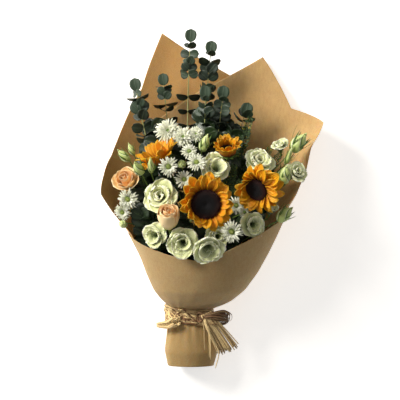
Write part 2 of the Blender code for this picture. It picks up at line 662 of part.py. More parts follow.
def build():
    for obj in list(bpy.data.objects):
        bpy.data.objects.remove(obj, do_unlink=True)
    for name, sheet in SHEETS.items():
        add_sheet(name, **sheet)
    add_tie()
    for name, flower in SUNFLOWERS.items():
        add_sunflower(name, **flower)
    for name, flower in ROSES.items():
        add_rose(name, **flower)
    for name, flower in LISIANTHUS.items():
        add_lisianthus(name, **flower)
    for name, spray in LISIANTHUS_SPRAYS.items():
        add_lisianthus_spray(name, **spray)
    for name, heads in CHRYSANTHEMUMS.items():
        add_chrysanthemums(name, heads)
    for name, spray in CHRYSANTHEMUM_SPRAYS.items():
        add_chrysanthemum_spray(name, **spray)
    for name, stem in EUCALYPTUS.items():
        add_leafy_stem(f"eucalyptus_{name}", "eucalyptus", **stem)
    for name, frond in FRONDS.items():
        add_frond(name, **frond)
    add_leafy_stem("dark_leaves", "dark_leaf", **LEAFY_STEM)


build()
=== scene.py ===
import math
import random

import bmesh
import bpy
from mathutils import Matrix, Vector, noise
from mathutils.geometry import interpolate_bezier


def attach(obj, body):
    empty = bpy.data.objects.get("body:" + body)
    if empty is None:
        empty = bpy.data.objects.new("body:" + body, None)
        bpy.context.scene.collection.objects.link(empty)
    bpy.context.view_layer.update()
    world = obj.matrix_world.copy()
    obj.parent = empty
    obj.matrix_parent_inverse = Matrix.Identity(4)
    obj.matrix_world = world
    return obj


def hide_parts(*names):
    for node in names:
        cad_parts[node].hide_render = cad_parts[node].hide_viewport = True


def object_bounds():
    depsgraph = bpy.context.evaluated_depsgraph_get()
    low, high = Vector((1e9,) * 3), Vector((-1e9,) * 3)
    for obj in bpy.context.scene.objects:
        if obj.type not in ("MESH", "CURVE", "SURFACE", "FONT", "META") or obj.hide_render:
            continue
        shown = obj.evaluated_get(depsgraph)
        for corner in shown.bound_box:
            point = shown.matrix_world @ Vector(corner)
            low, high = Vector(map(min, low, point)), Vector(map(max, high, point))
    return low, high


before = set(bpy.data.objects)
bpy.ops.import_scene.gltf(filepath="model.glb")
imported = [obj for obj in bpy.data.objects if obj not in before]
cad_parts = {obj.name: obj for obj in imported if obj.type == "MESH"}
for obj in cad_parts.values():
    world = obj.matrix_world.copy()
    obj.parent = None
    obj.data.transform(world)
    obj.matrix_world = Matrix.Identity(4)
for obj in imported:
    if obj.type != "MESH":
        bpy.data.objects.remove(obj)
cad_box = [list(corner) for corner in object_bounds()]


# The table and the studio. The bouquet lies on a plain white table, with a large soft lamp to its upper
# left, a weak fill high beyond it, and a camera straight above. Sizes are in metres here, and in
# millimetres for the bouquet's own pieces.

def shade(red, green, blue):
    """A colour as seen on a screen, from 0 to 255, as the light that a surface reflects."""
    parts = (c / 255 for c in (red, green, blue))
    return tuple(c / 12.92 if c < 0.04045 else ((c + 0.055) / 1.055) ** 2.4 for c in parts) + (1.0,)


class Signal:
    """A value that runs through a material. Sums on it add Math nodes."""

    def __init__(self, finish, socket):
        self.finish = finish
        self.socket = socket

    def math(self, operation, *values):
        return self.finish.node("ShaderNodeMath", {"operation": operation}, dict(enumerate(values)))

    def __add__(self, other):
        return self.math("ADD", self, other)

    def __radd__(self, other):
        return self.math("ADD", other, self)

    def __sub__(self, other):
        return self.math("SUBTRACT", self, other)

    def __rsub__(self, other):
        return self.math("SUBTRACT", other, self)

    def __mul__(self, other):
        return self.math("MULTIPLY", self, other)

    def __rmul__(self, other):
        return self.math("MULTIPLY", other, self)

    def __pow__(self, other):
        return self.math("POWER", self, other)

    def __abs__(self):
        return self.math("ABSOLUTE", self)

    def between(self, low, high):
        """How far the value is on the way from low to high, from 0 to 1, eased at both ends."""
        return self.finish.node("ShaderNodeMapRange", {"interpolation_type": "SMOOTHSTEP"},
                                {"Value": self, "From Min": low, "From Max": high})


class Finish:
    """A material and its nodes."""

    def __init__(self, name, **constants):
        self.material = bpy.data.materials.new(name)
        self.material.use_nodes = True
        self.tree = self.material.node_tree
        self.shader = self.tree.nodes["Principled BSDF"]
        for socket, value in constants.items():
            self.shader.inputs[socket.replace("_", " ")].default_value = value

    def node(self, kind, settings, values, output=0):
        made = self.tree.nodes.new(kind)
        for name, value in settings.items():
            setattr(made, name, value)
        for name, value in values.items():
            self.put(made.inputs[name], value)
        return Signal(self, made.outputs[output])

    def put(self, socket, value):
        if isinstance(value, Signal):
            self.tree.links.new(value.socket, socket)
        else:
            socket.default_value = value

    def place(self):
        return self.node("ShaderNodeTexCoord", {}, {}, "Object")

    def blade_map(self):
        """How far across and along a petal, leaf or strand a point is, each from 0 to 1."""
        return self.node("ShaderNodeUVMap", {"uv_map": "UVMap"}, {})

    def across(self):
        return self.node("ShaderNodeSeparateXYZ", {}, {0: self.blade_map()}, "X")

    def along(self):
        return self.node("ShaderNodeSeparateXYZ", {}, {0: self.blade_map()}, "Y")

    def tone(self):
        """The tone of its own that each petal, leaf or strand was given."""
        return self.node("ShaderNodeAttribute", {"attribute_name": "tone"}, {}, "Fac")

    def stretched(self, vector, scale):
        return self.node("ShaderNodeVectorMath", {"operation": "MULTIPLY"}, {0: vector, 1: scale})

    def noise(self, vector, scale, detail=2.0, roughness=0.5):
        return self.node("ShaderNodeTexNoise", {}, {"Vector": vector, "Scale": scale, "Detail": detail,
                                                    "Roughness": roughness})

    def mix(self, share, low, high):
        return self.node("ShaderNodeMix", {"data_type": "RGBA"}, {0: share, 6: low, 7: high}, 2)

    def colour(self, value):
        self.put(self.shader.inputs["Base Color"], value)

    def bump(self, height, distance):
        relief = self.node("ShaderNodeBump", {}, {"Height": height, "Distance": distance})
        self.put(self.shader.inputs["Normal"], relief)


TABLE_REACH = 14
TABLE_DROP = 0.0015
LIT_POINT = Vector((0, 0, 0.1))
# Each lamp's name, place, side and power.
LAMPS = (("window", (-1.45, 0.95, 1.05), 0.8, 56), ("fill", (0.1, 0.8, 2.1), 1.5, 5))
CAMERA_HEIGHT = 1.5

table_paint = Finish("table_paint", Roughness=0.6, Emission_Color=(1.0, 0.99, 0.98, 1.0),
                     Emission_Strength=0.6)
cloud = table_paint.noise(table_paint.place(), 3.0)
table_paint.colour(table_paint.mix(cloud, shade(249, 248, 246), shade(253, 252, 250)))
bm = bmesh.new()
bmesh.ops.create_grid(bm, x_segments=1, y_segments=1, size=TABLE_REACH)
table_mesh = bpy.data.meshes.new("table")
bm.to_mesh(table_mesh)
bm.free()
table_mesh.materials.append(table_paint.material)
table = bpy.data.objects.new("table", table_mesh)
bpy.context.scene.collection.objects.link(table)
table.location.z = cad_box[0][2] - TABLE_DROP

world = bpy.data.worlds.new("studio")
world.use_nodes = True
world.node_tree.nodes["Background"].inputs["Color"].default_value = (1.0, 0.985, 0.96, 1.0)
world.node_tree.nodes["Background"].inputs["Strength"].default_value = 0.2
bpy.context.scene.world = world
for name, place, size, power in LAMPS:
    lamp = bpy.data.lights.new(name, "AREA")
    lamp.size = size
    lamp.energy = power
    lamp.color = (1.0, 0.96, 0.9)
    lamp_object = bpy.data.objects.new(name, lamp)
    lamp_object.location = place
    lamp_object.rotation_euler = (Vector(place) - LIT_POINT).to_track_quat("Z", "Y").to_euler()
    bpy.context.scene.collection.objects.link(lamp_object)

lens = bpy.data.cameras.new("camera")
lens.lens = 69.09
lens.sensor_width = 36
camera = bpy.data.objects.new("camera", lens)
camera.location = (0, 0, CAMERA_HEIGHT)
bpy.context.scene.collection.objects.link(camera)
bpy.context.scene.camera = camera
bpy.context.scene.view_settings.view_transform = "Standard"


# The stems: fresh green stalks of all the flowers, cut level at the foot and held together by the tie.
# They end in the calyx under each flower, with bracts on the sunflowers and sepals on the roses.

MM = 0.001


def new_piece(name, bm, finish, slot, *nodes, thick=0):
    """A piece of the bouquet from a mesh in millimetres, standing for the nodes it is named with. A sheet,
    petal or leaf is given its thickness, half of it on each side."""
    bmesh.ops.scale(bm, vec=(MM, MM, MM), verts=bm.verts)
    mesh = bpy.data.meshes.new(name)
    bm.to_mesh(mesh)
    bm.free()
    mesh.shade_smooth()
    mesh.materials.append(finish.material)
    piece = bpy.data.objects.new(name, mesh)
    bpy.context.scene.collection.objects.link(piece)
    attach(piece, "root")
    if nodes:
        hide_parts(*nodes)
    if thick:
        wall = piece.modifiers.new("thickness", "SOLIDIFY")
        wall.thickness = thick * MM
        wall.offset = 0
    return piece


def merged_copy(node):
    """A node's mesh with its corners joined, in millimetres."""
    bm = bmesh.new()
    bm.from_mesh(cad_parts[node].data)
    bmesh.ops.remove_doubles(bm, verts=bm.verts, dist=1e-6)
    bmesh.ops.scale(bm, vec=(1 / MM, 1 / MM, 1 / MM), verts=bm.verts)
    return bm


stem_green = Finish("stem_green", Roughness=0.55)
fibre = stem_green.noise(stem_green.stretched(stem_green.place(), (400, 60, 400)), 1.0, 3.0)
patch = stem_green.noise(stem_green.place(), 25.0)
stem_green.colour(stem_green.mix(fibre * 0.4 + patch * 0.6, shade(62, 92, 30), shade(128, 152, 66)))
stem_green.bump(fibre, 0.0004)

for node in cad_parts:
    if node.endswith("_stem"):
        piece = new_piece("dressed_" + node, merged_copy(node), stem_green, "green_stems", node)
        smooth = piece.modifiers.new("smooth", "SUBSURF")
        smooth.levels = smooth.render_levels = 1


# The eucalyptus: seven stems of round leathery leaves that grow in pairs, each pair turned from the last.
# The leaves are blue green with a powdery bloom, and the thin woody stems are a pale yellow green.

TIE_CENTRE = Vector((-20, -220, 38))
STEM_CUT_Y = -304
STEM_PITCH = 8.6
LEAF_STEP = 13.5
TIP_LEAF = (2.15, 1.02)
# Each stem's tip, the point that it is drawn towards, its pairs of leaves, a leaf's radius, and the slot
# in the tie that it runs through. Below the pairs bunched at the tip, every second pair has dropped off.
EUCALYPTUS = {
    "tall": dict(tip=(-18, 297, 60), via=(-30, 120, 42), pairs=15, bunch=5, leaf=11.5, slot=(0, -2)),
    "second": dict(tip=(20, 277, 50), via=(4, 120, 36), pairs=14, bunch=7, leaf=11.5, slot=(1, -2)),
    "third": dict(tip=(-69, 219, 36), via=(-60, 110, 26), pairs=10, bunch=20, leaf=11, slot=(-1, -2)),
    "left": dict(tip=(-119, 205, 62), via=(-100, 90, 52), pairs=10, bunch=20, leaf=11.5, slot=(-2, -1)),
    "middle": dict(tip=(10, 187, 86), via=(10, 90, 74), pairs=7, bunch=20, leaf=11.5, slot=(0, -1)),
    "right": dict(tip=(42, 188, 74), via=(34, 100, 62), pairs=8, bunch=20, leaf=12, slot=(1, -1)),
    "short": dict(tip=(84, 159, 60), via=(60, 80, 48), pairs=7, bunch=20, leaf=12, slot=(2, -2)),
}


def new_mesh():
    """An empty mesh with a map across and along each blade, and a tone of its own for each."""
    bm = bmesh.new()
    bm.loops.layers.uv.new("UVMap")
    bm.verts.layers.float.new("tone")
    return bm


def laid_grid(bm, columns, rows, tone, point):
    """A grid of cells laid out by a function of how far across and along it each corner is."""
    grid = bmesh.ops.create_grid(bm, x_segments=columns, y_segments=rows, size=0.5, calc_uvs=True)["verts"]
    layer = bm.verts.layers.float["tone"]
    for corner in grid:
        corner[layer] = tone
        corner.co = point(corner.co.x + 0.5, corner.co.y + 0.5)
    return grid


def tube(bm, path, radius, sides, tone, flat=1.0):
    """A closed tube along a path. Its radius follows how far along it is, and flat squashes it."""
    frames = []
    side = (path[-1] - path[0]).cross(Vector((0, 0, 1)))
    for k in range(len(path)):
        ahead = (path[min(k + 1, len(path) - 1)] - path[max(k - 1, 0)]).normalized()
        side = (side - ahead * side.dot(ahead)).normalized()
        frames.append((path[k], side, side.cross(ahead) * flat))

    def point(across, along):
        place, side, up = frames[round(along * (len(path) - 1))]
        angle = 2 * math.pi * across
        return place + (side * math.cos(angle) + up * math.sin(angle)) * radius(along)

    grid = laid_grid(bm, sides, len(path) - 1, tone, point)
    bmesh.ops.remove_doubles(bm, verts=grid, dist=0.0001)
    rim = {e for corner in grid if corner.is_valid for e in corner.link_edges if e.is_boundary}
    bmesh.ops.holes_fill(bm, edges=list(rim), sides=sides)


def blade(bm, stand, length, half, slope, outline, root=(0.0, 0.0), cup=0.0, ruffle=0.0, waves=3.0, phase=0.0,
          around=False, tone=0.5, cells=(4, 6)):
    """A petal or leaf that grows outward along X from its root's (out, up) place. Its rib's slope bends
    from its first to its last angle. outline is its half-width along it. cup lifts its sides, ruffle
    waves its edge, and around bends it round the flower's axis."""
    rows = cells[1]
    rib = [Vector((root[0], 0, root[1]))]
    angles = [slope[0] + (slope[1] - slope[0]) * k / rows for k in range(rows + 1)]
    for k in range(rows):
        bend = (angles[k] + angles[k + 1]) / 2
        rib.append(rib[-1] + Vector((math.cos(bend), 0, math.sin(bend))) * length / rows)

    def point(across, along):
        k = round(along * rows)
        side = 2 * across - 1
        wide = half * outline(along)
        lift = cup * wide * side * side
        lift += ruffle * along * along * math.sin(waves * math.pi * side + phase) * (0.3 + 0.7 * abs(side))
        place = rib[k] + Vector((-math.sin(angles[k]), 0, math.cos(angles[k]))) * lift
        if around:
            reach = max(place.x, wide * 0.4, 0.01)
            turn = wide * side / reach
            return stand @ Vector((place.x * math.cos(turn), reach * math.sin(turn), place.z))
        return stand @ Vector((place.x, wide * side, place.z))

    laid_grid(bm, cells[0], rows, tone, point)


def leafy_path(tip, via, slot, step):
    """Points from a stem's tip to the tie, drawn towards via on the way, and on to the cut end."""
    tie = TIE_CENTRE + Vector((slot[0], 0, slot[1])) * STEM_PITCH
    parts = round((Vector(tip) - tie).length / step)
    curve = interpolate_bezier(Vector(tip), Vector(via), tie + Vector((0, 90, 0)), tie, parts + 1)
    return curve + [Vector((tie.x, STEM_CUT_Y, tie.z))]


def round_outline(along):
    """A round leaf, a little wider towards its tip."""
    return max(0.06, (1 - (2 * along - 1) ** 2) ** 0.5) * (1 - 0.12 * (1 - along))


def leaf_pair(bm, place, ahead, roll, size, spread, tilt, tone, rng):
    """Two round leaves on opposite sides of a stem, with their faces turned by tilt to along it."""
    side = ahead.cross(Vector((0, 0, 1))).normalized()
    up = side.cross(ahead)
    for hand in (-1, 1):
        out = (side * math.cos(roll) + up * math.sin(roll)) * hand
        along = (ahead * (1 - spread) + out * spread).normalized()
        across = (Vector((0, 0, 1)) * (1 - tilt) - ahead * tilt).cross(along).normalized()
        turn = Matrix((along, across, along.cross(across))).transposed().to_4x4()
        blade(bm, Matrix.Translation(place) @ turn, size * 2, size * 0.96, (rng.uniform(0.1, 0.3), -0.25),
              round_outline, cup=rng.uniform(0.1, 0.28), ruffle=size * 0.05, waves=1.5,
              phase=rng.uniform(0, 6), tone=tone * rng.uniform(0.2, 1), cells=(6, 8))


leaf_bloom = Finish("eucalyptus_leaf", Roughness=0.55, Coat_Weight=0.06, Coat_Roughness=0.4)
across = leaf_bloom.across()
from_rib = abs(across - 0.5) * 2
rib = 1 - from_rib.between(0.02, 0.1)
veins = leaf_bloom.noise(leaf_bloom.stretched(leaf_bloom.place(), (300, 300, 300)), 1.0, 3.0)
powder = leaf_bloom.noise(leaf_bloom.place(), 90.0, 3.0)
green = leaf_bloom.mix(leaf_bloom.tone() * 0.75 + (powder - 0.5) * 0.6, shade(19, 31, 22), shade(64, 85, 62))
green = leaf_bloom.mix(rib * 0.3, green, shade(92, 112, 80))
leaf_bloom.colour(leaf_bloom.mix(from_rib.between(0.88, 1.0) * 0.25, green, shade(96, 100, 72)))
leaf_bloom.bump(veins * 0.3 + rib, 0.0004)

twig_bark = Finish("eucalyptus_twig", Roughness=0.6)
bark = twig_bark.noise(twig_bark.stretched(twig_bark.place(), (300, 40, 300)), 1.0, 3.0)
twig_bark.colour(twig_bark.mix(bark, shade(110, 122, 70), shade(168, 168, 108)))
twig_bark.bump(bark, 0.0003)

for name, stem in EUCALYPTUS.items():
    rng = random.Random(f"eucalyptus_{name}")
    path = leafy_path(stem["tip"], stem["via"], stem["slot"], LEAF_STEP)
    leaves = new_mesh()
    ahead = (path[0] - path[1]).normalized()
    turn = ahead.to_track_quat("X", "Z").to_matrix().to_4x4()
    leaf = stem["leaf"]
    blade(leaves, Matrix.Translation(path[0] - ahead) @ turn, leaf * TIP_LEAF[0], leaf * TIP_LEAF[1],
          (0.2, -0.2), round_outline, cup=0.2, tone=0.9, cells=(6, 8))
    for k in range(stem["pairs"]):
        if k >= stem["bunch"] and k % 2:
            continue
        ahead = (path[k] - path[k + 1]).normalized()
        size = leaf * (0.86 + 0.14 * min(1, k / 3)) * rng.uniform(0.78, 1.12)
        place = path[k].lerp(path[k + 1], rng.uniform(0.2, 0.9))
        roll = math.radians(rng.uniform(-15, 30) if k % 2 else rng.uniform(30, 80))
        spread, tilt = rng.uniform(0.4, 0.95), rng.choice((0.1, 0.35, 0.6, 0.8))
        if k >= stem["bunch"]:
            roll, spread, tilt = rng.uniform(-0.2, 0.2), rng.uniform(0.75, 0.95), rng.uniform(0.5, 0.8)
        # Pairs further down the stem, towards the wrap, get a lower tone and so a darker green: painted shade
        # where they lie deep in the bouquet.
        leaf_pair(leaves, place, ahead, roll, size, spread, tilt, 1 - 0.75 * k / stem["pairs"], rng)
    new_piece(f"leaves_eucalyptus_{name}", leaves, leaf_bloom, "eucalyptus_leaves", f"eucalyptus_{name}",
              thick=0.4)
    twig = new_mesh()
    tube(twig, path, lambda along: 0.8 + 1.2 * along, 8, 0.5)
    new_piece(f"twig_eucalyptus_{name}", twig, twig_bark, "eucalyptus_leaves")


# The greenery between the flowers: fine ferny fronds, one stem of dark glossy leaves at the left, and
# leafy side shoots low down among the stems, so that the gaps between the blooms are deep green. These
# dark leaves are partly real foliage and partly painted shade, put where the gaps lie deep in shadow.

FROND_STEP = 4
FROND_PAIRS = 30
LEAFLETS = 4
# A frond's tone is how light it is, and flowers is the share of its leaflets that are yellow florets.
FRONDS = {
    "back": dict(tip=(92, 150, 92), via=(64, 60, 60), slot=(3, -1), width=13, tone=0.6, flowers=0.12),
    "right": dict(tip=(130, 96, 74), via=(90, 30, 60), slot=(3, 0), width=13, tone=0.6, flowers=0.1),
    "middle": dict(tip=(62, 62, 118), via=(44, -10, 90), slot=(1, 0), width=14, tone=0.6, flowers=0.02),
    "beside_right": dict(tip=(146, 84, 98), via=(100, 20, 80), slot=(3, -2), width=12, tone=0.4,
                         flowers=0.06),
    "behind_top": dict(tip=(74, 116, 104), via=(56, 30, 80), slot=(2, -1), width=12, tone=0.4,
                       flowers=0.04),
    "between": dict(tip=(72, 34, 132), via=(50, -30, 96), slot=(1, 1), width=12, tone=0.55, flowers=0.01),
    "inner_left": dict(tip=(-108, 52, 108), via=(-84, -20, 70), slot=(-3, -1), width=11, tone=0.3,
                       flowers=0.0),
}
DARK_STEM = ((-103, -24, 112), (-103, -72, 90), (-4, 0))
# Each shoot's tip, the point that it is drawn towards, and its slot.
SHOOTS = (
    ((-96, 60, 88), (-80, -40, 50), (-3, -2)), ((-60, 40, 104), (-50, -60, 60), (-2, 0)),
    ((-30, 90, 96), (-28, -20, 50), (-1, -2)), ((0, 40, 112), (-10, -60, 60), (0, 0)),
    ((40, 24, 96), (20, -60, 60), (1, 0)), ((76, 60, 96), (60, -40, 50), (2, -2)),
    ((70, -30, 108), (40, -100, 60), (1, 1)), ((20, -50, 118), (0, -130, 80), (0, 1)),
    ((-30, -40, 122), (-30, -120, 80), (-1, 1)), ((-70, -50, 108), (-60, -120, 80), (-2, 1)),
    ((-104, 20, 92), (-90, -60, 60), (-4, -1)), ((104, -4, 104), (80, -80, 60), (3, 1)),
    ((130, 40, 90), (100, -40, 60), (3, -2)), ((10, 120, 84), (0, 20, 50), (0, -3)),
    ((60, 120, 74), (46, 20, 50), (1, -3)), ((-78, 116, 66), (-64, 20, 46), (-2, -3)),
    ((-94, -62, 92), (-76, -130, 70), (-3, 2)), ((52, -68, 116), (30, -140, 80), (1, 2)),
    ((10, 160, 60), (8, 40, 46), (0, -3)), ((44, 150, 56), (36, 40, 44), (1, -2)),
    ((-86, 132, 52), (-76, 40, 44), (-2, -2)),
)


def pointed_outline(along):
    """A slim leaf, pointed at both ends."""
    return max(0.05, math.sin(math.pi * along ** 0.75) ** 0.85)


fern_green = Finish("fern_green", Roughness=0.6)
across = fern_green.across()
green = fern_green.mix(fern_green.tone().between(0.0, 0.6), shade(24, 46, 24), shade(84, 114, 58))
fern_green.colour(fern_green.mix(fern_green.tone().between(0.7, 1.0), green, shade(160, 152, 48)))
fern_green.bump(abs(across - 0.5), 0.0006)

for name, frond in FRONDS.items():
    rng = random.Random(name)
    path = leafy_path(frond["tip"], frond["via"], frond["slot"], FROND_STEP)
    leaves = new_mesh()
    for k in range(FROND_PAIRS):
        ahead = (path[k] - path[k + 1]).normalized()
        side = ahead.cross(Vector((0, 0, 1))).normalized()
        reach = frond["width"] * (0.35 + 0.75 * (k / FROND_PAIRS) ** 0.7)
        for hand in (-1, 1):
            out = (ahead * 0.5 + side * hand + Vector((0, 0, rng.uniform(-0.3, 0.5)))).normalized()
            turn = out.to_track_quat("X", "Z").to_matrix().to_4x4()
            for leaflet in range(LEAFLETS):
                share = 0.3 + 0.2 * leaflet
                place = path[k] + out * reach * share
                twist = Matrix.Rotation(rng.uniform(-1.0, 1.0), 4, "Z") @ Matrix.Rotation(
                    rng.uniform(-0.5, 0.5), 4, "Y")
                tone = 1.0 if rng.random() < frond["flowers"] else frond["tone"] * rng.uniform(0.3, 0.8)
                blade(leaves, Matrix.Translation(place) @ turn @ twist, reach * 0.42, 1.0, (0.2, -0.2),
                      pointed_outline, tone=tone, cells=(2, 3))
    tube(leaves, path, lambda along: 0.5 + 1.3 * along, 6, frond["tone"] * 0.5)
    stands_for = [node for node in (f"fern_{name}",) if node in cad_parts]
    new_piece(f"leaflets_fern_{name}", leaves, fern_green, "fern_leaves", *stands_for, thick=0.3)

dark_green = Finish("dark_leaf", Roughness=0.42, Coat_Weight=0.1, Coat_Roughness=0.3)
across = dark_green.across()
from_rib = abs(across - 0.5) * 2
rib = 1 - from_rib.between(0.02, 0.12)
blotch = dark_green.noise(dark_green.place(), 60.0, 3.0)
# From near black to dark green: the leaves' own dark green, and painted shade where they fill the deep gaps.
green = dark_green.mix(dark_green.tone() * 0.5 + blotch * 0.5, shade(12, 24, 12), shade(38, 58, 28))
dark_green.colour(dark_green.mix(rib * 0.4, green, shade(70, 92, 50)))
dark_green.bump(rib, 0.0004)


def leafy_shoot(bm, path, pairs, leaf, rng):
    """A stem with pairs of leaves of a radius, from its tip down."""
    for k in range(pairs):
        ahead = (path[k] - path[k + 1]).normalized()
        roll = math.radians(rng.uniform(0, 25) if k % 2 else rng.uniform(35, 80))
        leaf_pair(bm, path[k], ahead, roll, leaf * rng.uniform(0.8, 1.15), rng.uniform(0.5, 0.8),
                  rng.uniform(0.0, 0.4), 1.0, rng)
    tube(bm, path, lambda along: 0.7 + 1.0 * along, 6, 0.3)


leaves = new_mesh()
rng = random.Random("dark_leaves")
leafy_shoot(leaves, leafy_path(*DARK_STEM, step=10), pairs=9, leaf=12, rng=rng)
new_piece("leaves_dark", leaves, dark_green, "dark_leaves", "dark_leaves", thick=0.4)
leaves = new_mesh()
for tip, via, slot in SHOOTS:
    leafy_shoot(leaves, leafy_path(tip, via, slot, step=12), pairs=7, leaf=14, rng=rng)
new_piece("leaves_between", leaves, dark_green, "dark_leaves", thick=0.4)


# The sunflowers: four heads. Each has two rows of broad ray petals, thin and grooved along, round a
# domed disc of small dark florets that are packed in spirals.

# face is the middle of a head, facing the way it looks, and rise the slope of its petals in radians.
# Towards upright, in degrees round the head, they stand steeper by so much. Towards long they are longer
# and wider by a share, and lie lower by so much.
SUNFLOWERS = {
    "centre": dict(face=(10, -7, 178), facing=(0.05, -0.2, 1), disc=26, ray_length=25, rise=0.5,
                   upright=(190, 0.4), long=(80, 0.15, 0.35), tone=0.4),
    "right": dict(face=(99, 19, 152), facing=(-0.6, -0.5, 0.75), disc=21, ray_length=27, rise=0.5,
                  upright=(225, 0.8), long=(85, 0.4, 0.75), tone=0.5),
    "top": dict(face=(49, 88, 122), facing=(-0.05, 0.75, 0.6), disc=16, ray_length=22, rise=1.1,
                upright=(270, 0.15), long=(90, 0.1, 0.0), tone=0.45),
    "left": dict(face=(-72, 73, 112), facing=(-0.4, 0.75, 0.4), disc=18, ray_length=33, rise=0.75,
                 upright=(270, 0.0), long=(100, 0.2, 0.0), tone=0.3),
}
GOLDEN_TURN = math.pi * (3 - 5 ** 0.5)
FLORETS = 460
PETALS_IN_ROW = 19
BRACTS_IN_ROW = 13


def aimed(place, facing):
    """Where a flower stands: its own Z along facing."""
    return Matrix.Translation(Vector(place)) @ Vector(facing).to_track_quat("Z", "Y").to_matrix().to_4x4()


def ray_outline(along):
    """A broad petal with a short blunt tip."""
    if along < 0.5:
        return 0.5 + 0.5 * math.sin(math.pi / 2 * along / 0.5)
    return max(0.05, 1 - ((along - 0.5) / 0.5) ** 2.6) ** 0.75


def sepals(bm, stand, count, root, length, half, slope, rng):
    """A ring of narrow pointed green leaves behind a flower."""
    for k in range(count):
        turn = 2 * math.pi * (k + rng.uniform(-0.25, 0.25)) / count
        blade(bm, stand @ Matrix.Rotation(turn, 4, "Z"), length * rng.uniform(0.85, 1.15), half, slope,
              pointed_outline, root=root, cup=0.2, tone=rng.random(), cells=(2, 5))


def disc_height(share):
    """The disc's profile: it rises to a rounded shoulder and dips in the middle."""
    return 0.27 * (1 - abs(share - 0.55) ** 2.4 * (4.2 if share > 0.55 else 2.2))


petal_gold = Finish("sunflower_petal", Roughness=0.5, Subsurface_Weight=0.08,
                    Subsurface_Radius=(0.004, 0.002, 0.0006))
across, along = petal_gold.across(), petal_gold.along()
from_rib = abs(across - 0.5) * 2
grooves = abs(petal_gold.node("ShaderNodeMath", {"operation": "SINE"}, {0: across * 22.0}))
streaks = petal_gold.noise(petal_gold.stretched(petal_gold.place(), (260, 260, 260)), 1.0, 2.0)
light = petal_gold.tone() * 0.8 + (streaks - 0.5) * 0.5
gold = petal_gold.mix(light, shade(246, 138, 2), shade(255, 194, 12))
# Darker towards the root: partly the petal's own deeper orange, partly painted shade near the disc.
gold = petal_gold.mix(1 - along.between(0.05, 0.6), gold, shade(182, 90, 6))
# Lighter at the edges and the tip: painted highlight.
edge = (from_rib.between(0.6, 1.0) + along.between(0.75, 1.0)) * 0.55
gold = petal_gold.mix(edge, gold, shade(255, 208, 36))
petal_gold.colour(petal_gold.mix(grooves * 0.24, gold, shade(184, 84, 2)))
petal_gold.bump(grooves + streaks * 0.4, 0.0008)

leaf_skin = Finish("sepal_green", Roughness=0.55)
across = leaf_skin.across()
rib = 1 - abs(across - 0.5).between(0.02, 0.12)
green = leaf_skin.mix(leaf_skin.tone(), shade(50, 82, 30), shade(108, 138, 58))
leaf_skin.colour(leaf_skin.mix(rib * 0.4, green, shade(150, 172, 96)))
leaf_skin.bump(rib, 0.0004)

seed_black = Finish("sunflower_seed", Roughness=0.7)
ring = seed_black.tone()
speck = seed_black.noise(seed_black.place(), 500.0, 2.0)
dark = seed_black.mix(ring.between(0.45, 1.0), shade(9, 6, 11), shade(66, 24, 14))
seed_black.colour(seed_black.mix(speck.between(0.6, 0.85) * ring * 0.3, dark, shade(96, 46, 26)))

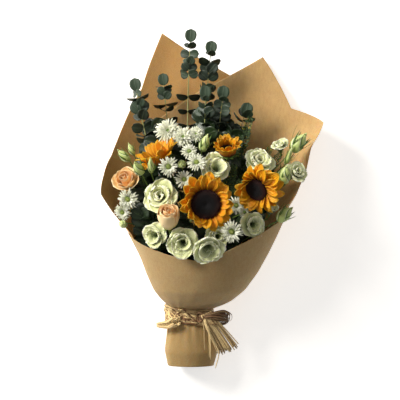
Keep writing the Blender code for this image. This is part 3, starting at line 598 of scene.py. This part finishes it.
for name, flower in SUNFLOWERS.items():
    rng = random.Random(name)
    stand = aimed(flower["face"], flower["facing"])
    disc = flower["disc"]
    petals = new_mesh()
    upright, standing = flower["upright"]
    longest, extra, lowered = flower["long"]
    for row in range(2):
        for k in range(PETALS_IN_ROW):
            turn = 2 * math.pi * (k + 0.5 - 0.5 * row + rng.uniform(-0.25, 0.25)) / PETALS_IN_ROW
            length = flower["ray_length"] * rng.uniform(0.78, 1.08) * (1 - 0.12 * row) + disc * 0.12
            towards = max(0, math.cos(turn - math.radians(longest)))
            length *= 1 + extra * towards ** 2
            half = (disc + 0.5 * length) * math.pi / PETALS_IN_ROW * rng.uniform(1.05, 1.4)
            half *= 1 + extra * towards
            steeper = standing * max(0, math.cos(turn - math.radians(upright))) ** 0.7
            rise = flower["rise"] - lowered * towards + steeper + 0.25 * row
            rise += rng.uniform(-0.14, 0.14) * (1 - 0.6 * towards * (lowered > 0))
            twist = Matrix.Rotation(rng.uniform(-0.12, 0.12), 4, "X")
            blade(petals, stand @ Matrix.Rotation(turn, 4, "Z") @ twist, length, half,
                  (rise + 0.3, rise + rng.choice((-0.8, -0.4, -0.25, -0.1, 0.3))), ray_outline,
                  root=(disc * 0.96, -2.4 + 1.2 * row), cup=rng.uniform(0.1, 0.5),
                  ruffle=rng.uniform(0.5, 1.8), waves=1.3, phase=rng.uniform(0, 6),
                  tone=min(1, flower["tone"] + rng.uniform(-0.1, 0.55)), cells=(6, 9))
    new_piece(f"petals_sunflower_{name}", petals, petal_gold, "sunflower_petals", f"sunflower_{name}_rays",
              thick=0.35)

    florets = new_mesh()
    tone = florets.verts.layers.float["tone"]

    def dome(across, along):
        angle = 2 * math.pi * across
        height = disc_height(along) if along < 0.99 else -0.05
        return stand @ (Vector((math.cos(angle) * along, math.sin(angle) * along, height)) * disc)

    bmesh.ops.remove_doubles(florets, verts=laid_grid(florets, 28, 10, 0.3, dome), dist=0.001)
    for k in range(FLORETS):
        share = ((k + 0.5) / FLORETS) ** 0.5 * 0.98
        angle = k * GOLDEN_TURN
        foot = Vector((share * math.cos(angle), share * math.sin(angle), disc_height(share))) * disc
        lean = Matrix.Rotation(angle, 4, "Z") @ Matrix.Rotation((share - 0.5) * 0.9, 4, "Y")
        size = disc * 0.045 * (0.75 + 0.5 * share)
        cone = bmesh.ops.create_cone(florets, cap_ends=False, segments=5, radius1=size, radius2=size * 0.35,
                                     depth=size * (2.2 + share), calc_uvs=True,
                                     matrix=stand @ Matrix.Translation(foot) @ lean)
        for corner in cone["verts"]:
            corner[tone] = share
    bmesh.ops.holes_fill(florets, edges=[e for e in florets.edges if e.is_boundary], sides=5)
    new_piece(f"florets_sunflower_{name}", florets, seed_black, "sunflower_seeds", f"sunflower_{name}_disc")

    bracts = new_mesh()
    for row in range(2):
        sepals(bracts, stand, BRACTS_IN_ROW, (disc * (0.5 + 0.2 * row), -7 + 2 * row), disc * 0.9,
               disc * 0.16, (-0.3, flower["rise"] * 0.8 + 0.1), rng)
    new_piece(f"bracts_sunflower_{name}", bracts, leaf_skin, "green_stems", thick=0.4)


# The roses: two peach blooms, one open at the left and one still a pointed bud in front. The petals
# are thick and silky, wound round each other, with the outer ones rolled back at the lip.

ROSES = {
    "left": dict(face=(-137, 41, 120), facing=(-0.3, 0.45, 0.9), radius=22.5, depth=32, petals=15, open=0.6),
    "front": dict(face=(-56, -19, 181), facing=(-0.05, 0.72, 0.7), radius=22, depth=39, petals=13, open=0.0),
}


def broad_outline(along):
    """A petal that widens from a narrow foot to a full lip."""
    if along < 0.6:
        return 0.3 + 0.7 * math.sin(math.pi / 2 * along / 0.6) ** 0.9
    return max(0.1, 1 - ((along - 0.6) / 0.4) ** 3.0) ** 0.5


peach = Finish("rose_petal", Roughness=0.48, Subsurface_Weight=0.12,
               Subsurface_Radius=(0.004, 0.003, 0.002), Sheen_Weight=0.1)
across, along = peach.across(), peach.along()
silk = peach.noise(peach.stretched(peach.place(), (120, 120, 120)), 1.0, 3.0)
ribs = abs(peach.node("ShaderNodeMath", {"operation": "SINE"}, {0: (across - 0.5) * 60.0}))
skin = peach.mix(peach.tone(), shade(238, 168, 84), shade(255, 230, 174))
skin = peach.mix(along.between(0.8, 1.0) * 0.65, skin, shade(255, 232, 186))
skin = peach.mix((1 - along.between(0.05, 0.55)) * 0.7, skin, shade(196, 182, 104))
peach.colour(peach.mix(ribs ** 3.0 * 0.12, skin, shade(228, 162, 98)))
peach.bump(silk + ribs * 0.2, 0.0006)

for name, flower in ROSES.items():
    rng = random.Random(name)
    stand = aimed(flower["face"], flower["facing"])
    radius, depth, opened = flower["radius"], flower["depth"], flower["open"]
    petals = new_mesh()
    for k in range(flower["petals"]):
        share = k / (flower["petals"] - 1)
        turn = Matrix.Rotation(k * GOLDEN_TURN, 4, "Z")
        first = 1.35 - (0.48 - 0.3 * opened) * share
        last = 1.72 + 0.1 * share - opened * 1.5 * share ** 2 + rng.uniform(-0.06, 0.06)
        length = (depth + 4 - 3 * share * (1 + opened)) * 1.04
        half = 4 + radius * (0.98 + 0.1 * opened) * share
        blade(petals, stand @ turn, length, half, (first, last), broad_outline,
              root=(radius * (0.06 + 0.36 * share), 1 - depth), cup=0.02, ruffle=0.3 + 0.7 * share,
              waves=1.2, phase=rng.uniform(0, 6), around=True,
              tone=min(1, 0.05 + 0.85 * share * rng.uniform(0.75, 1.1)), cells=(12, 14))
    new_piece(f"petals_rose_{name}", petals, peach, "rose_petals", f"rose_{name}_bloom", thick=0.45)
    leaves = new_mesh()
    sepals(leaves, stand, 5, (radius * 0.25, -depth + 0.5), depth * 0.55, radius * 0.2, (0.9, 1.15), rng)
    new_piece(f"sepals_rose_{name}", leaves, leaf_skin, "green_stems", thick=0.4)


# The lisianthus: eleven ruffled blooms of thin green-white petals round a green throat, on branched
# stems. The full ones are as double as a rose, and the smallest are only half open.

LISIANTHUS = {
    "1": dict(face=(-72, 8, 150), facing=(-0.2, 0.35, 1), radius=30.5, form="double"),
    "2": dict(face=(29, 59, 136), facing=(0.15, 0.5, 1), radius=26, form="open"),
    "3": dict(face=(107, 72, 130), facing=(0.3, 0.6, 1), radius=27, form="double"),
    "4": dict(face=(-31, -75, 166), facing=(-0.05, -0.1, 1), radius=26, form="open"),
    "5": dict(face=(14, -86, 178), facing=(0.1, -0.5, 0.9), radius=27.5, form="open"),
    "6": dict(face=(32, -64, 142), facing=(0.1, 0.1, 1), radius=21, form="open"),
    "7": dict(face=(96, -44, 144), facing=(0.35, -0.05, 1), radius=22, form="open"),
    "8": dict(face=(-82, -64, 138), facing=(-0.45, -0.1, 1), radius=21, form="open"),
    "9": dict(face=(144, 100, 112), facing=(-0.2, 0.9, 0.7), radius=17, form="double"),
    "10": dict(face=(176, 51, 116), facing=(0.4, 0.5, 0.8), radius=20, form="double"),
    "11": dict(face=(127, -13, 130), facing=(0.2, 0.9, 0.6), radius=16, form="half-open"),
}
# Whorls from the outside in: petals, length and half-width as shares of the radius, and the slope in
# degrees at the root and at the lip. An open bloom shows its dark throat, a double one is full of
# petals, and a half-open one has its lips still turned in.
WHORLS = {
    "open": ((5, 1.42, 0.92, 88, 2), (5, 1.24, 0.82, 91, 32), (4, 0.95, 0.42, 93, 44)),
    "double": ((5, 1.4, 0.9, 88, 4), (5, 1.24, 0.8, 91, 38), (4, 1.06, 0.62, 95, 68)),
    "half-open": ((5, 1.22, 0.74, 74, 58), (4, 1.14, 0.6, 84, 80), (3, 1.06, 0.46, 90, 96)),
}

green_white = Finish("lisianthus_petal", Roughness=0.68, Subsurface_Weight=0.15,
                     Subsurface_Radius=(0.004, 0.005, 0.002), Specular_IOR_Level=0.25)
across, along = green_white.across(), green_white.along()
veins = abs(green_white.node("ShaderNodeMath", {"operation": "SINE"}, {0: (across - 0.5) * 40.0}))
cloud = green_white.noise(green_white.place(), 70.0, 3.0)
from_throat = along.between(0.38, 1.0) + (cloud - 0.5) * 0.3
skin = green_white.mix(from_throat, shade(74, 98, 30), shade(226, 230, 170))
lip = along.between(0.88, 1.0) + abs(across - 0.5).between(0.4, 0.5) * along
skin = green_white.mix((lip + green_white.tone() * 0.25) * 0.85, skin, shade(246, 248, 222))
green_white.colour(green_white.mix(veins ** 4.0 * 0.14, skin, shade(244, 247, 222)))
green_white.bump(veins * 0.4 + cloud * 0.6, 0.0003)

for name, flower in LISIANTHUS.items():
    rng = random.Random(name)
    stand = aimed(flower["face"], flower["facing"])
    radius = flower["radius"]
    petals = new_mesh()
    for row, (count, length, half, first, last) in enumerate(WHORLS[flower["form"]]):
        for k in range(count):
            turn = 2 * math.pi * (k + 0.5 * row + rng.uniform(-0.2, 0.2)) / count
            reach = radius * length * rng.uniform(0.86, 1.07)
            slope = (math.radians(first), math.radians(last + rng.uniform(-18, 18)))
            blade(petals, stand @ Matrix.Rotation(turn, 4, "Z"), reach, radius * half, slope, broad_outline,
                  root=(radius * (0.2 - 0.03 * row), -radius * 0.93 + row), cup=-0.06,
                  ruffle=radius * rng.uniform(0.05, 0.12), waves=rng.choice((1.6, 2.3, 3.1)),
                  phase=rng.uniform(0, 6), around=True, tone=rng.random(), cells=(14, 12))
    new_piece(f"petals_lisianthus_{name}", petals, green_white, "lisianthus_petals",
              f"lisianthus_{name}_bloom", thick=0.3)
    leaves = new_mesh()
    sepals(leaves, stand, 5, (radius * 0.12, -radius * 0.95), radius * 0.9, radius * 0.09, (1.1, 0.75),
           rng)
    new_piece(f"sepals_lisianthus_{name}", leaves, leaf_skin, "green_stems", thick=0.3)


# The spray chrysanthemums: small white daisies with several rows of narrow rays round a green button of
# tight florets. Heads that touch grew on one branched stem.

# Each head's middle, the way that it looks, and its radius.
CHRYSANTHEMUMS = {
    "top": (((-58, 125, 97.5), (-0.2, 0.5, 1), 24), ((-30, 113, 109), (-0.2, 0.5, 1), 22),
            ((-7, 118, 111), (-0.2, 0.5, 1), 16)),
    "middle": (((-19, 86, 136), (-0.1, 0.5, 1), 16), ((-6, 66, 147), (-0.1, 0.5, 1), 19)),
    "centre": (((-55, 58, 160), (0, 0.1, 1), 19),),
    "inner": (((-28, 36, 148), (0, 0.3, 1), 18),),
    "left": (((-129, 2, 122), (-0.3, -0.3, 1), 21), ((-140, -22, 112), (-0.3, -0.3, 1), 17)),
    "right": (((64, -10, 134), (0.2, 0.2, 1), 18), ((79, -22, 133.4), (0.2, 0.2, 1), 12)),
    "front": (((55, -54, 176), (-0.15, -0.3, 1), 22),),
}
FULL_HEADS = "top"
# Rows of rays from the outside in: how many, their reach as a share of the radius, and their slope.
FULL_ROWS = ((26, 1.0, 0.1), (24, 0.95, 0.32), (22, 0.87, 0.55), (18, 0.74, 0.8), (13, 0.56, 1.1))
PLAIN_ROWS = ((20, 1.02, 0.05), (18, 0.92, 0.3), (13, 0.74, 0.6))
BUTTON_FLORETS = 70


def narrow_outline(along):
    """A narrow ray with a rounded tip."""
    if along < 0.7:
        return 0.45 + 0.55 * math.sin(math.pi / 2 * along / 0.7)
    return max(0.15, 1 - ((along - 0.7) / 0.3) ** 2.2) ** 0.6


ray_white = Finish("chrysanthemum_ray", Roughness=0.5, Subsurface_Weight=0.1,
                   Subsurface_Radius=(0.004, 0.004, 0.003))
across, along = ray_white.across(), ray_white.along()
skin = ray_white.mix(along.between(0.02, 0.35), shade(186, 198, 122), shade(240, 241, 226))
ray_white.colour(ray_white.mix(ray_white.tone() * 0.5, skin, shade(222, 228, 190)))
ray_white.bump(abs(across - 0.5), 0.0006)

button_green = Finish("chrysanthemum_button", Roughness=0.65)
button_green.colour(button_green.mix(button_green.tone(), shade(132, 156, 62), shade(206, 208, 122)))

for name, heads in CHRYSANTHEMUMS.items():
    petals, buttons = new_mesh(), new_mesh()
    tone = buttons.verts.layers.float["tone"]
    full = name == FULL_HEADS
    for face, facing, radius in heads:
        rng = random.Random(f"{face}")
        stand = aimed(face, facing)
        inner = radius * (0.14 if full else 0.2)
        for row, (count, reach, rise) in enumerate(FULL_ROWS if full else PLAIN_ROWS):
            for k in range(count):
                turn = 2 * math.pi * (k + 0.5 * row + rng.uniform(-0.4, 0.4)) / count
                length = radius * reach * rng.uniform(0.8, 1.06) * (1.1 if full else 1) - inner
                half = radius * rng.uniform(0.05, 0.075)
                blade(petals, stand @ Matrix.Rotation(turn, 4, "Z"), length, half,
                      (rise + 0.3, rise - 0.3 + rng.uniform(-0.25, 0.3)), narrow_outline,
                      root=(inner, 0.4 * row - 0.6), cup=0.9, tone=rng.random(), cells=(4, 5))
        button = radius * (0.14 if full else 0.23)
        for k in range(BUTTON_FLORETS):
            share = ((k + 0.5) / BUTTON_FLORETS) ** 0.5
            angle = k * GOLDEN_TURN
            foot = Vector((share * math.cos(angle), share * math.sin(angle), 0)) * button
            foot.z = 1.0 + button * 0.62 * (1 - share * share) ** 0.5
            size = button * 0.13
            cone = bmesh.ops.create_cone(buttons, cap_ends=True, segments=5, radius1=size, radius2=size * 0.5,
                                         depth=size * 3.4, matrix=stand @ Matrix.Translation(foot))
            for corner in cone["verts"]:
                corner[tone] = 1 - share + rng.uniform(-0.1, 0.1)
        seat = stand @ Matrix.Translation((0, 0, 0.6)) @ Matrix.Diagonal((1, 1, 0.62, 1))
        bmesh.ops.create_uvsphere(buttons, u_segments=14, v_segments=8, radius=button, matrix=seat)
        sepals(buttons, stand, 10, (radius * 0.1, -radius * 0.28), radius * 0.34, radius * 0.09, (0.3, 0.9),
               rng)
    new_piece(f"rays_chrysanthemum_{name}", petals, ray_white, "chrysanthemum_petals",
              f"chrysanthemum_{name}_heads", thick=0.3)
    new_piece(f"buttons_chrysanthemum_{name}", buttons, button_green, "green_stems")


# The buds: closed lisianthus flowers, still furled to a point in a narrow green calyx, and two green
# chrysanthemum buds. Each swells from the end of its own branch.

# Each bud's foot, the way that it points, its length and its radius.
BUDS = (
    ((-104, 46, 134), (-0.3, 0.6, 0.7), 34, 8), ((-86, 48, 142), (0.0, 0.7, 0.7), 38, 5),
    ((3, 87, 118), (0.3, 0.85, 0.4), 36, 8), ((166, 88, 104), (0.6, 0.75, 0.25), 44, 11),
    ((154, 64, 106), (0.35, 0.9, 0.4), 40, 4), ((148, 30, 114), (0.2, 0.9, 0.45), 36, 11),
    ((138, -37, 130), (0.65, 0.6, 0.3), 38, 10), ((-128, 70, 100), (-0.7, 0.7, 0.3), 32, 7),
    ((-121, 82, 92), (-0.4, 0.9, 0.3), 26, 5), ((-137, -42, 112), (-0.4, -0.4, 0.8), 11, 7),
    ((-32, 62, 130), (0.0, 0.5, 1.0), 11, 7),
)

bud_green = Finish("bud_green", Roughness=0.45, Subsurface_Weight=0.1,
                   Subsurface_Radius=(0.003, 0.004, 0.001))
across, along = bud_green.across(), bud_green.along()
grain = bud_green.noise(bud_green.place(), 120.0, 2.0)
wind = bud_green.node("ShaderNodeMath", {"operation": "FRACT"}, {0: across * 4.0 + along * 1.6})
skin = bud_green.mix((1 - along) * 0.6 + (grain - 0.5) * 0.4, shade(212, 224, 146), shade(132, 162, 74))
skin = bud_green.mix(1 - wind.between(0.0, 0.35), skin, shade(100, 130, 54))
bud_green.colour(bud_green.mix(wind.between(0.86, 0.97), skin, shade(234, 238, 196)))
bud_green.bump(wind, 0.0012)

furls, leaves = new_mesh(), new_mesh()
for place, facing, length, radius in BUDS:
    rng = random.Random(f"{place}")
    stand = aimed(place, facing)

    def furled(across, along):
        """A furled bud: four petal edges wind up it in steps."""
        swell = 0.12 * (1 - along) / 0.06
        if along < 0.94:
            swell = math.sin(math.pi * min(1, along * 1.06) ** 0.72) ** 0.8
        wind = (across * 4 + along * 1.6) % 1
        reach = radius * (0.16 * (1 - along) + 1.02 * swell) * (0.88 + 0.2 * wind)
        angle = 2 * math.pi * across
        return stand @ Vector((reach * math.cos(angle), reach * math.sin(angle), length * 1.02 * along))

    grid = laid_grid(furls, 48, 18, 0.75, furled)
    bmesh.ops.remove_doubles(furls, verts=grid, dist=0.01)
    sepals(leaves, stand, 6, (radius * 0.25, 0.5), length * (0.6 + 0.035 * radius), radius * 0.22,
           (0.9, 1.4), rng)
new_piece("buds", furls, bud_green, "green_stems", thick=0.3)
new_piece("sepals_buds", leaves, leaf_skin, "green_stems", thick=0.3)


# The wrap: three sheets of brown kraft paper rolled round the flowers. A front sheet makes the cone, and
# two back sheets stand up behind as tall corners. All three are gathered at the tie into a sleeve.

# Each section's Y, centre X, half-width to the left and right, underside and height.
WRAP_SECTIONS = (
    (-319, -18, 43, 43, -3, 68), (-286, -17, 50, 51, -2, 74), (-234, -20, 42, 42, 8, 60),
    (-206, -20, 42, 42, 9, 58), (-200, -20, 42, 60, 8, 70), (-193, -18, 47, 72, 6, 86),
    (-188, -12, 60, 74, 5, 96), (-168, -1, 85, 86, 1, 120), (-134, 3, 104, 105, -3, 141),
    (-96, 6, 121, 122, -5, 159), (-60, 5, 137, 139, -6, 174), (-25, 0, 160, 160, -7, 188),
    (10, -2, 182, 182, -8, 198), (50, 0, 188, 197, -8, 203), (98, 0, 192, 207, -8, 206),
    (145, 0, 195, 242, -8, 208), (260, 0, 212, 262, -7, 210), (325, 0, 218, 268, -3, 210),
)
FOOT_SLANT = 7
PAPER_THICK = 0.5
LAYER_STEP = 1.8
PLEATS = 17
# Each sheet's layer from the outside in, its tone, and its free edge: degrees round the wrap from its
# top, towards the right, and the Y that the edge reaches there.
SHEETS = {
    "wrap_front": dict(layer=0, tone=1.0, rim=((-132, -150), (-104, -66), (-90, -60), (-30, -98), (0, -110),
                                               (45, -63), (75, -30), (90, -22), (104, -39), (134, -130))),
    "wrap_back_left": dict(layer=1, tone=0.0, rim=((152, 207), (200, 325), (214, 215), (242, 86), (256, 45),
                                                   (270, 10), (285, -60))),
    "wrap_back_right": dict(layer=2, tone=0.5, rim=((75, -30), (90, 96), (104, 144), (134, 176), (152, 278),
                                                    (166, 245), (214, 137))),
}
FOOT_Y = WRAP_SECTIONS[0][0]


def section_at(y):
    """Centre X, left and right half-width, underside and height of the wrap at y."""
    for low, high in zip(WRAP_SECTIONS, WRAP_SECTIONS[1:]):
        if y <= high[0]:
            break
    share = (y - low[0]) / (high[0] - low[0])
    return [a + (b - a) * share for a, b in zip(low[1:], high[1:])]


def rim_at(rim, degrees):
    """How high up the sheet's free edge is, so many degrees round the wrap."""
    for low, high in zip(rim, rim[1:]):
        if degrees <= high[0]:
            break
    return low[1] + (high[1] - low[1]) * (degrees - low[0]) / (high[0] - low[0])


def wrap_point(degrees, y, inset):
    """A point of the wrap, so many millimetres in from its outside. The paper is pleated where it is
    gathered, and dented a little all over; under the bouquet it lies flat."""
    near = [section_at(max(FOOT_Y, y + step)) for step in (-4, -2, 0, 2, 4)]
    centre, left, right, under, height = [sum(values) / len(near) for values in zip(*near)]
    angle = math.radians(degrees)
    gathered = math.exp(-abs(y - TIE_CENTRE.y) / 20)
    uneven = noise.noise(Vector((math.cos(angle) * 2, math.sin(angle) * 2, 3)))
    pleat = math.sin(angle * PLEATS + 2.5 * uneven)
    dent = noise.noise(Vector((math.cos(angle) * 2.2, math.sin(angle) * 2.2, y / 46)))
    inset += 2.0 * gathered * (pleat + 1) + 1.5 * dent * (1 - gathered)
    half = (right if math.sin(angle) > 0 else left) - inset
    z = under + inset + (height / 2 - inset) * (1 + math.cos(angle))
    return Vector((centre + half * math.sin(angle), y, max(z, inset - LAYER_STEP)))


kraft = Finish("kraft_paper", Roughness=0.82, Sheen_Weight=0.05, Subsurface_Weight=0.6,
               Subsurface_Radius=(0.008, 0.004, 0.0015))
place = kraft.place()
tone = kraft.tone()
fibres = kraft.noise(kraft.stretched(place, (700, 2600, 700)), 1.0, 3.0, 0.7)
pulp = kraft.noise(place, 45.0, 4.0, 0.6)
flecks = kraft.noise(kraft.stretched(place, (900, 2400, 900)), 1.0, 1.0)
tan = kraft.mix(tone.between(0.0, 0.5), shade(196, 146, 76), shade(206, 170, 112))
tan = kraft.mix(tone.between(0.5, 1.0), tan, shade(186, 160, 112))
mottle = kraft.noise(kraft.stretched(place, (240, 70, 240)), 1.0, 3.0, 0.6)
tan = kraft.mix(pulp * 0.5, tan, shade(158, 126, 80))
# Below the tie the paper is painted darker towards the foot of the sleeve: painted shade.
up = kraft.node("ShaderNodeSeparateXYZ", {}, {0: place}, "Y")
tan = kraft.mix((1 - up.between(-0.26, -0.205)) * 0.6, tan, shade(150, 122, 66))
tan = kraft.mix(mottle.between(0.35, 0.7) * 0.3, tan, shade(164, 118, 62))
tan = kraft.mix(fibres.between(0.35, 0.7) * 0.4, tan, shade(224, 190, 134))
kraft.colour(kraft.mix(flecks.between(0.6, 0.72) * 0.45, tan, shade(118, 86, 48)))
kraft.bump(fibres * 0.5 + pulp, 0.0006)

for name, sheet in SHEETS.items():
    rim = sheet["rim"]
    degrees_at = []
    for low, high in zip(rim, rim[1:]):
        columns = max(1, round((high[0] - low[0]) / 2.5))
        degrees_at += [low[0] + (high[0] - low[0]) * k / columns for k in range(columns)]
    degrees_at.append(rim[-1][0])
    columns = len(degrees_at) - 1
    inset = sheet["layer"] * LAYER_STEP

    def on_sheet(across, along):
        degrees = degrees_at[round(across * columns)]
        foot = FOOT_Y + FOOT_SLANT * (1 + math.cos(math.radians(degrees))) / 2
        return wrap_point(degrees, foot + (rim_at(rim, degrees) - foot) * along, inset)

    paper = new_mesh()
    laid_grid(paper, columns, 150, sheet["tone"], on_sheet)
    new_piece(f"paper_{name}", paper, kraft, "kraft_paper", name, thick=PAPER_THICK)


# The tie: a hank of dry raffia wound several times round the neck of the wrap and knotted on top. Each
# strand is a flat straw-coloured fibre, and the loose tails fan out to the lower right.

KNOT = Vector((0, -217, 77))
BAND_STRANDS = 42
CROSSED_STRANDS = 30
HANK_STRANDS = 72
KNOT_LOOPS = 10
STRAND_FLAT = 0.4
# The flap at the left, three dark loops and three loose tails: the path of each, its number of strands,
# how light they are, how far apart they lie, and how much further at each point of the path.
RAFFIA_ENDS = (
    (((-44, -225, 75), (-56, -232, 71), (-69, -234, 64), (-79, -235, 58)), 34, 0.85, 8, -1.5),
    (((0, -217, 77), (22, -210, 84), (44, -207, 78), (55, -216, 68), (51, -228, 62), (30, -226, 74)),
     16, 0.1, 2, 0.9),
    (((0, -217, 77), (20, -212, 84), (38, -213, 80), (47, -218, 72), (42, -225, 68), (20, -224, 80)),
     16, 0.2, 2, 0.9),
    (((2, -216, 80), (24, -216, 82), (40, -219, 76), (49, -222, 69), (45, -226, 66), (24, -224, 78)),
     12, 0.05, 2, 0.9),
    (((4, -222, 82), (7, -240, 80), (7, -258, 79), (8, -279, 78)), 1, 0.6, 2, 0.4),
    (((8, -222, 82), (17, -240, 80), (19, -270, 76), (19.5, -296, 70)), 2, 1.0, 2, 0.3),
    (((8, -222, 82), (16, -246, 80), (31, -276, 71), (33, -290, 66), (27, -314, 58)), 3, 1.0, 2, 0.3),
)
# The hank's fan runs from one line of points at the knot to another at its ends.
HANK_ROOT = (Vector((3, -213, 82)), Vector((20, -206, 80)))
HANK_TIPS = (Vector((35, -283, 68)), Vector((72, -272, 60)))

straw = Finish("raffia_straw", Roughness=0.6, Sheen_Weight=0.1)
grain = straw.noise(straw.stretched(straw.blade_map(), (30, 2, 1)), 1.0, 3.0)
fibre = straw.mix(straw.tone(), shade(92, 52, 20), shade(250, 222, 160))
straw.colour(straw.mix(grain.between(0.4, 0.75) * 0.4, fibre, shade(168, 112, 54)))
straw.bump(grain, 0.0004)


def smooth_path(points, parts):
    """A path through points, with no corners."""
    ends = [points[0] * 2 - points[1]] + list(points) + [points[-1] * 2 - points[-2]]
    path = []
    for before, start, end, after in zip(ends, ends[1:], ends[2:], ends[3:]):
        leaving, arriving = start + (end - before) / 6, end - (after - start) / 6
        path += interpolate_bezier(start, leaving, arriving, end, parts)[:-1]
    return path + [points[-1]]


raffia = new_mesh()
rng = random.Random("raffia")
for strand in range(BAND_STRANDS):
    height = rng.uniform(-12, 12)
    drift = rng.uniform(-7, 7)
    proud = rng.uniform(2.4, 5.6)
    start = rng.uniform(0, 360)
    lean = rng.uniform(0, 2 * math.pi)
    path = []
    for k in range(61):
        degrees = start + 6 * k
        leftward = -math.sin(math.radians(degrees))
        y = TIE_CENTRE.y + 2 + 6 * leftward + height + drift * math.sin(math.radians(degrees) + lean)
        y = min(y, 7 * max(0, leftward) - 205)
        path.append(wrap_point(degrees % 360, y, -proud + 0.5 * math.sin(k * 0.7)))
    tube(raffia, path, lambda along: 1.25, 6, rng.random() ** 1.3, STRAND_FLAT)
for strand in range(CROSSED_STRANDS):
    start = rng.uniform(-85, -10)
    hand = rng.choice((-1, 1))
    drop = rng.uniform(1.6, 2.9)
    proud = rng.uniform(3.5, 6)
    path = [wrap_point((start + hand * 3.4 * k) % 360, -203 - drop * k, -proud) for k in range(11)]
    tube(raffia, path, lambda along: 1.4, 6, rng.choice((0.05, 1.0, 1.0, 0.9)), STRAND_FLAT)
for points, count, light, width, widening in RAFFIA_ENDS:
    for strand in range(count):
        spread = Vector((rng.uniform(-1, 1), rng.uniform(-1, 1), rng.uniform(-0.6, 0.6)))
        path = [Vector(point) + spread * (width + widening * n) for n, point in enumerate(points)]
        tone = min(1, max(0, light + rng.uniform(-0.2, 0.2)))
        tube(raffia, smooth_path(path, 6), lambda along: 1.4 - 0.7 * along, 5, tone, STRAND_FLAT)
for strand in range(HANK_STRANDS):
    share = rng.random()
    jitter = Vector((rng.uniform(-2, 2), rng.uniform(-2, 2), rng.uniform(-3, 3)))
    start = HANK_ROOT[0].lerp(HANK_ROOT[1], share)
    end = HANK_TIPS[0].lerp(HANK_TIPS[1], share) + Vector((0, rng.uniform(-6, 4), 0))
    path = smooth_path([start + jitter * 0.3, start.lerp(end, 0.3) + Vector((-1, 0, 2)) + jitter * 0.6,
                        start.lerp(end, 0.65) + jitter, end + jitter * 1.5], 6)
    tube(raffia, path, lambda along: 1.6 - 0.6 * along, 5, rng.choice((0.3, 0.65, 0.9, 1.0)), STRAND_FLAT)
for strand in range(KNOT_LOOPS):
    turn = Matrix.Translation(KNOT) @ Matrix.Rotation(rng.uniform(-0.6, 0.6), 4, "Z") @ Matrix.Rotation(
        rng.uniform(-0.5, 0.5), 4, "X")
    path = [turn @ Vector((rng.uniform(-1, 1) + 5 * math.cos(a) + 1, 9 * math.sin(a), 5 * math.cos(a)))
            for a in (2 * math.pi * k / 24 for k in range(25))]
    tube(raffia, path, lambda along: 1.4, 6, rng.random() * 0.35, 0.5)
new_piece("raffia_strands", raffia, straw, "raffia", "raffia_tie")
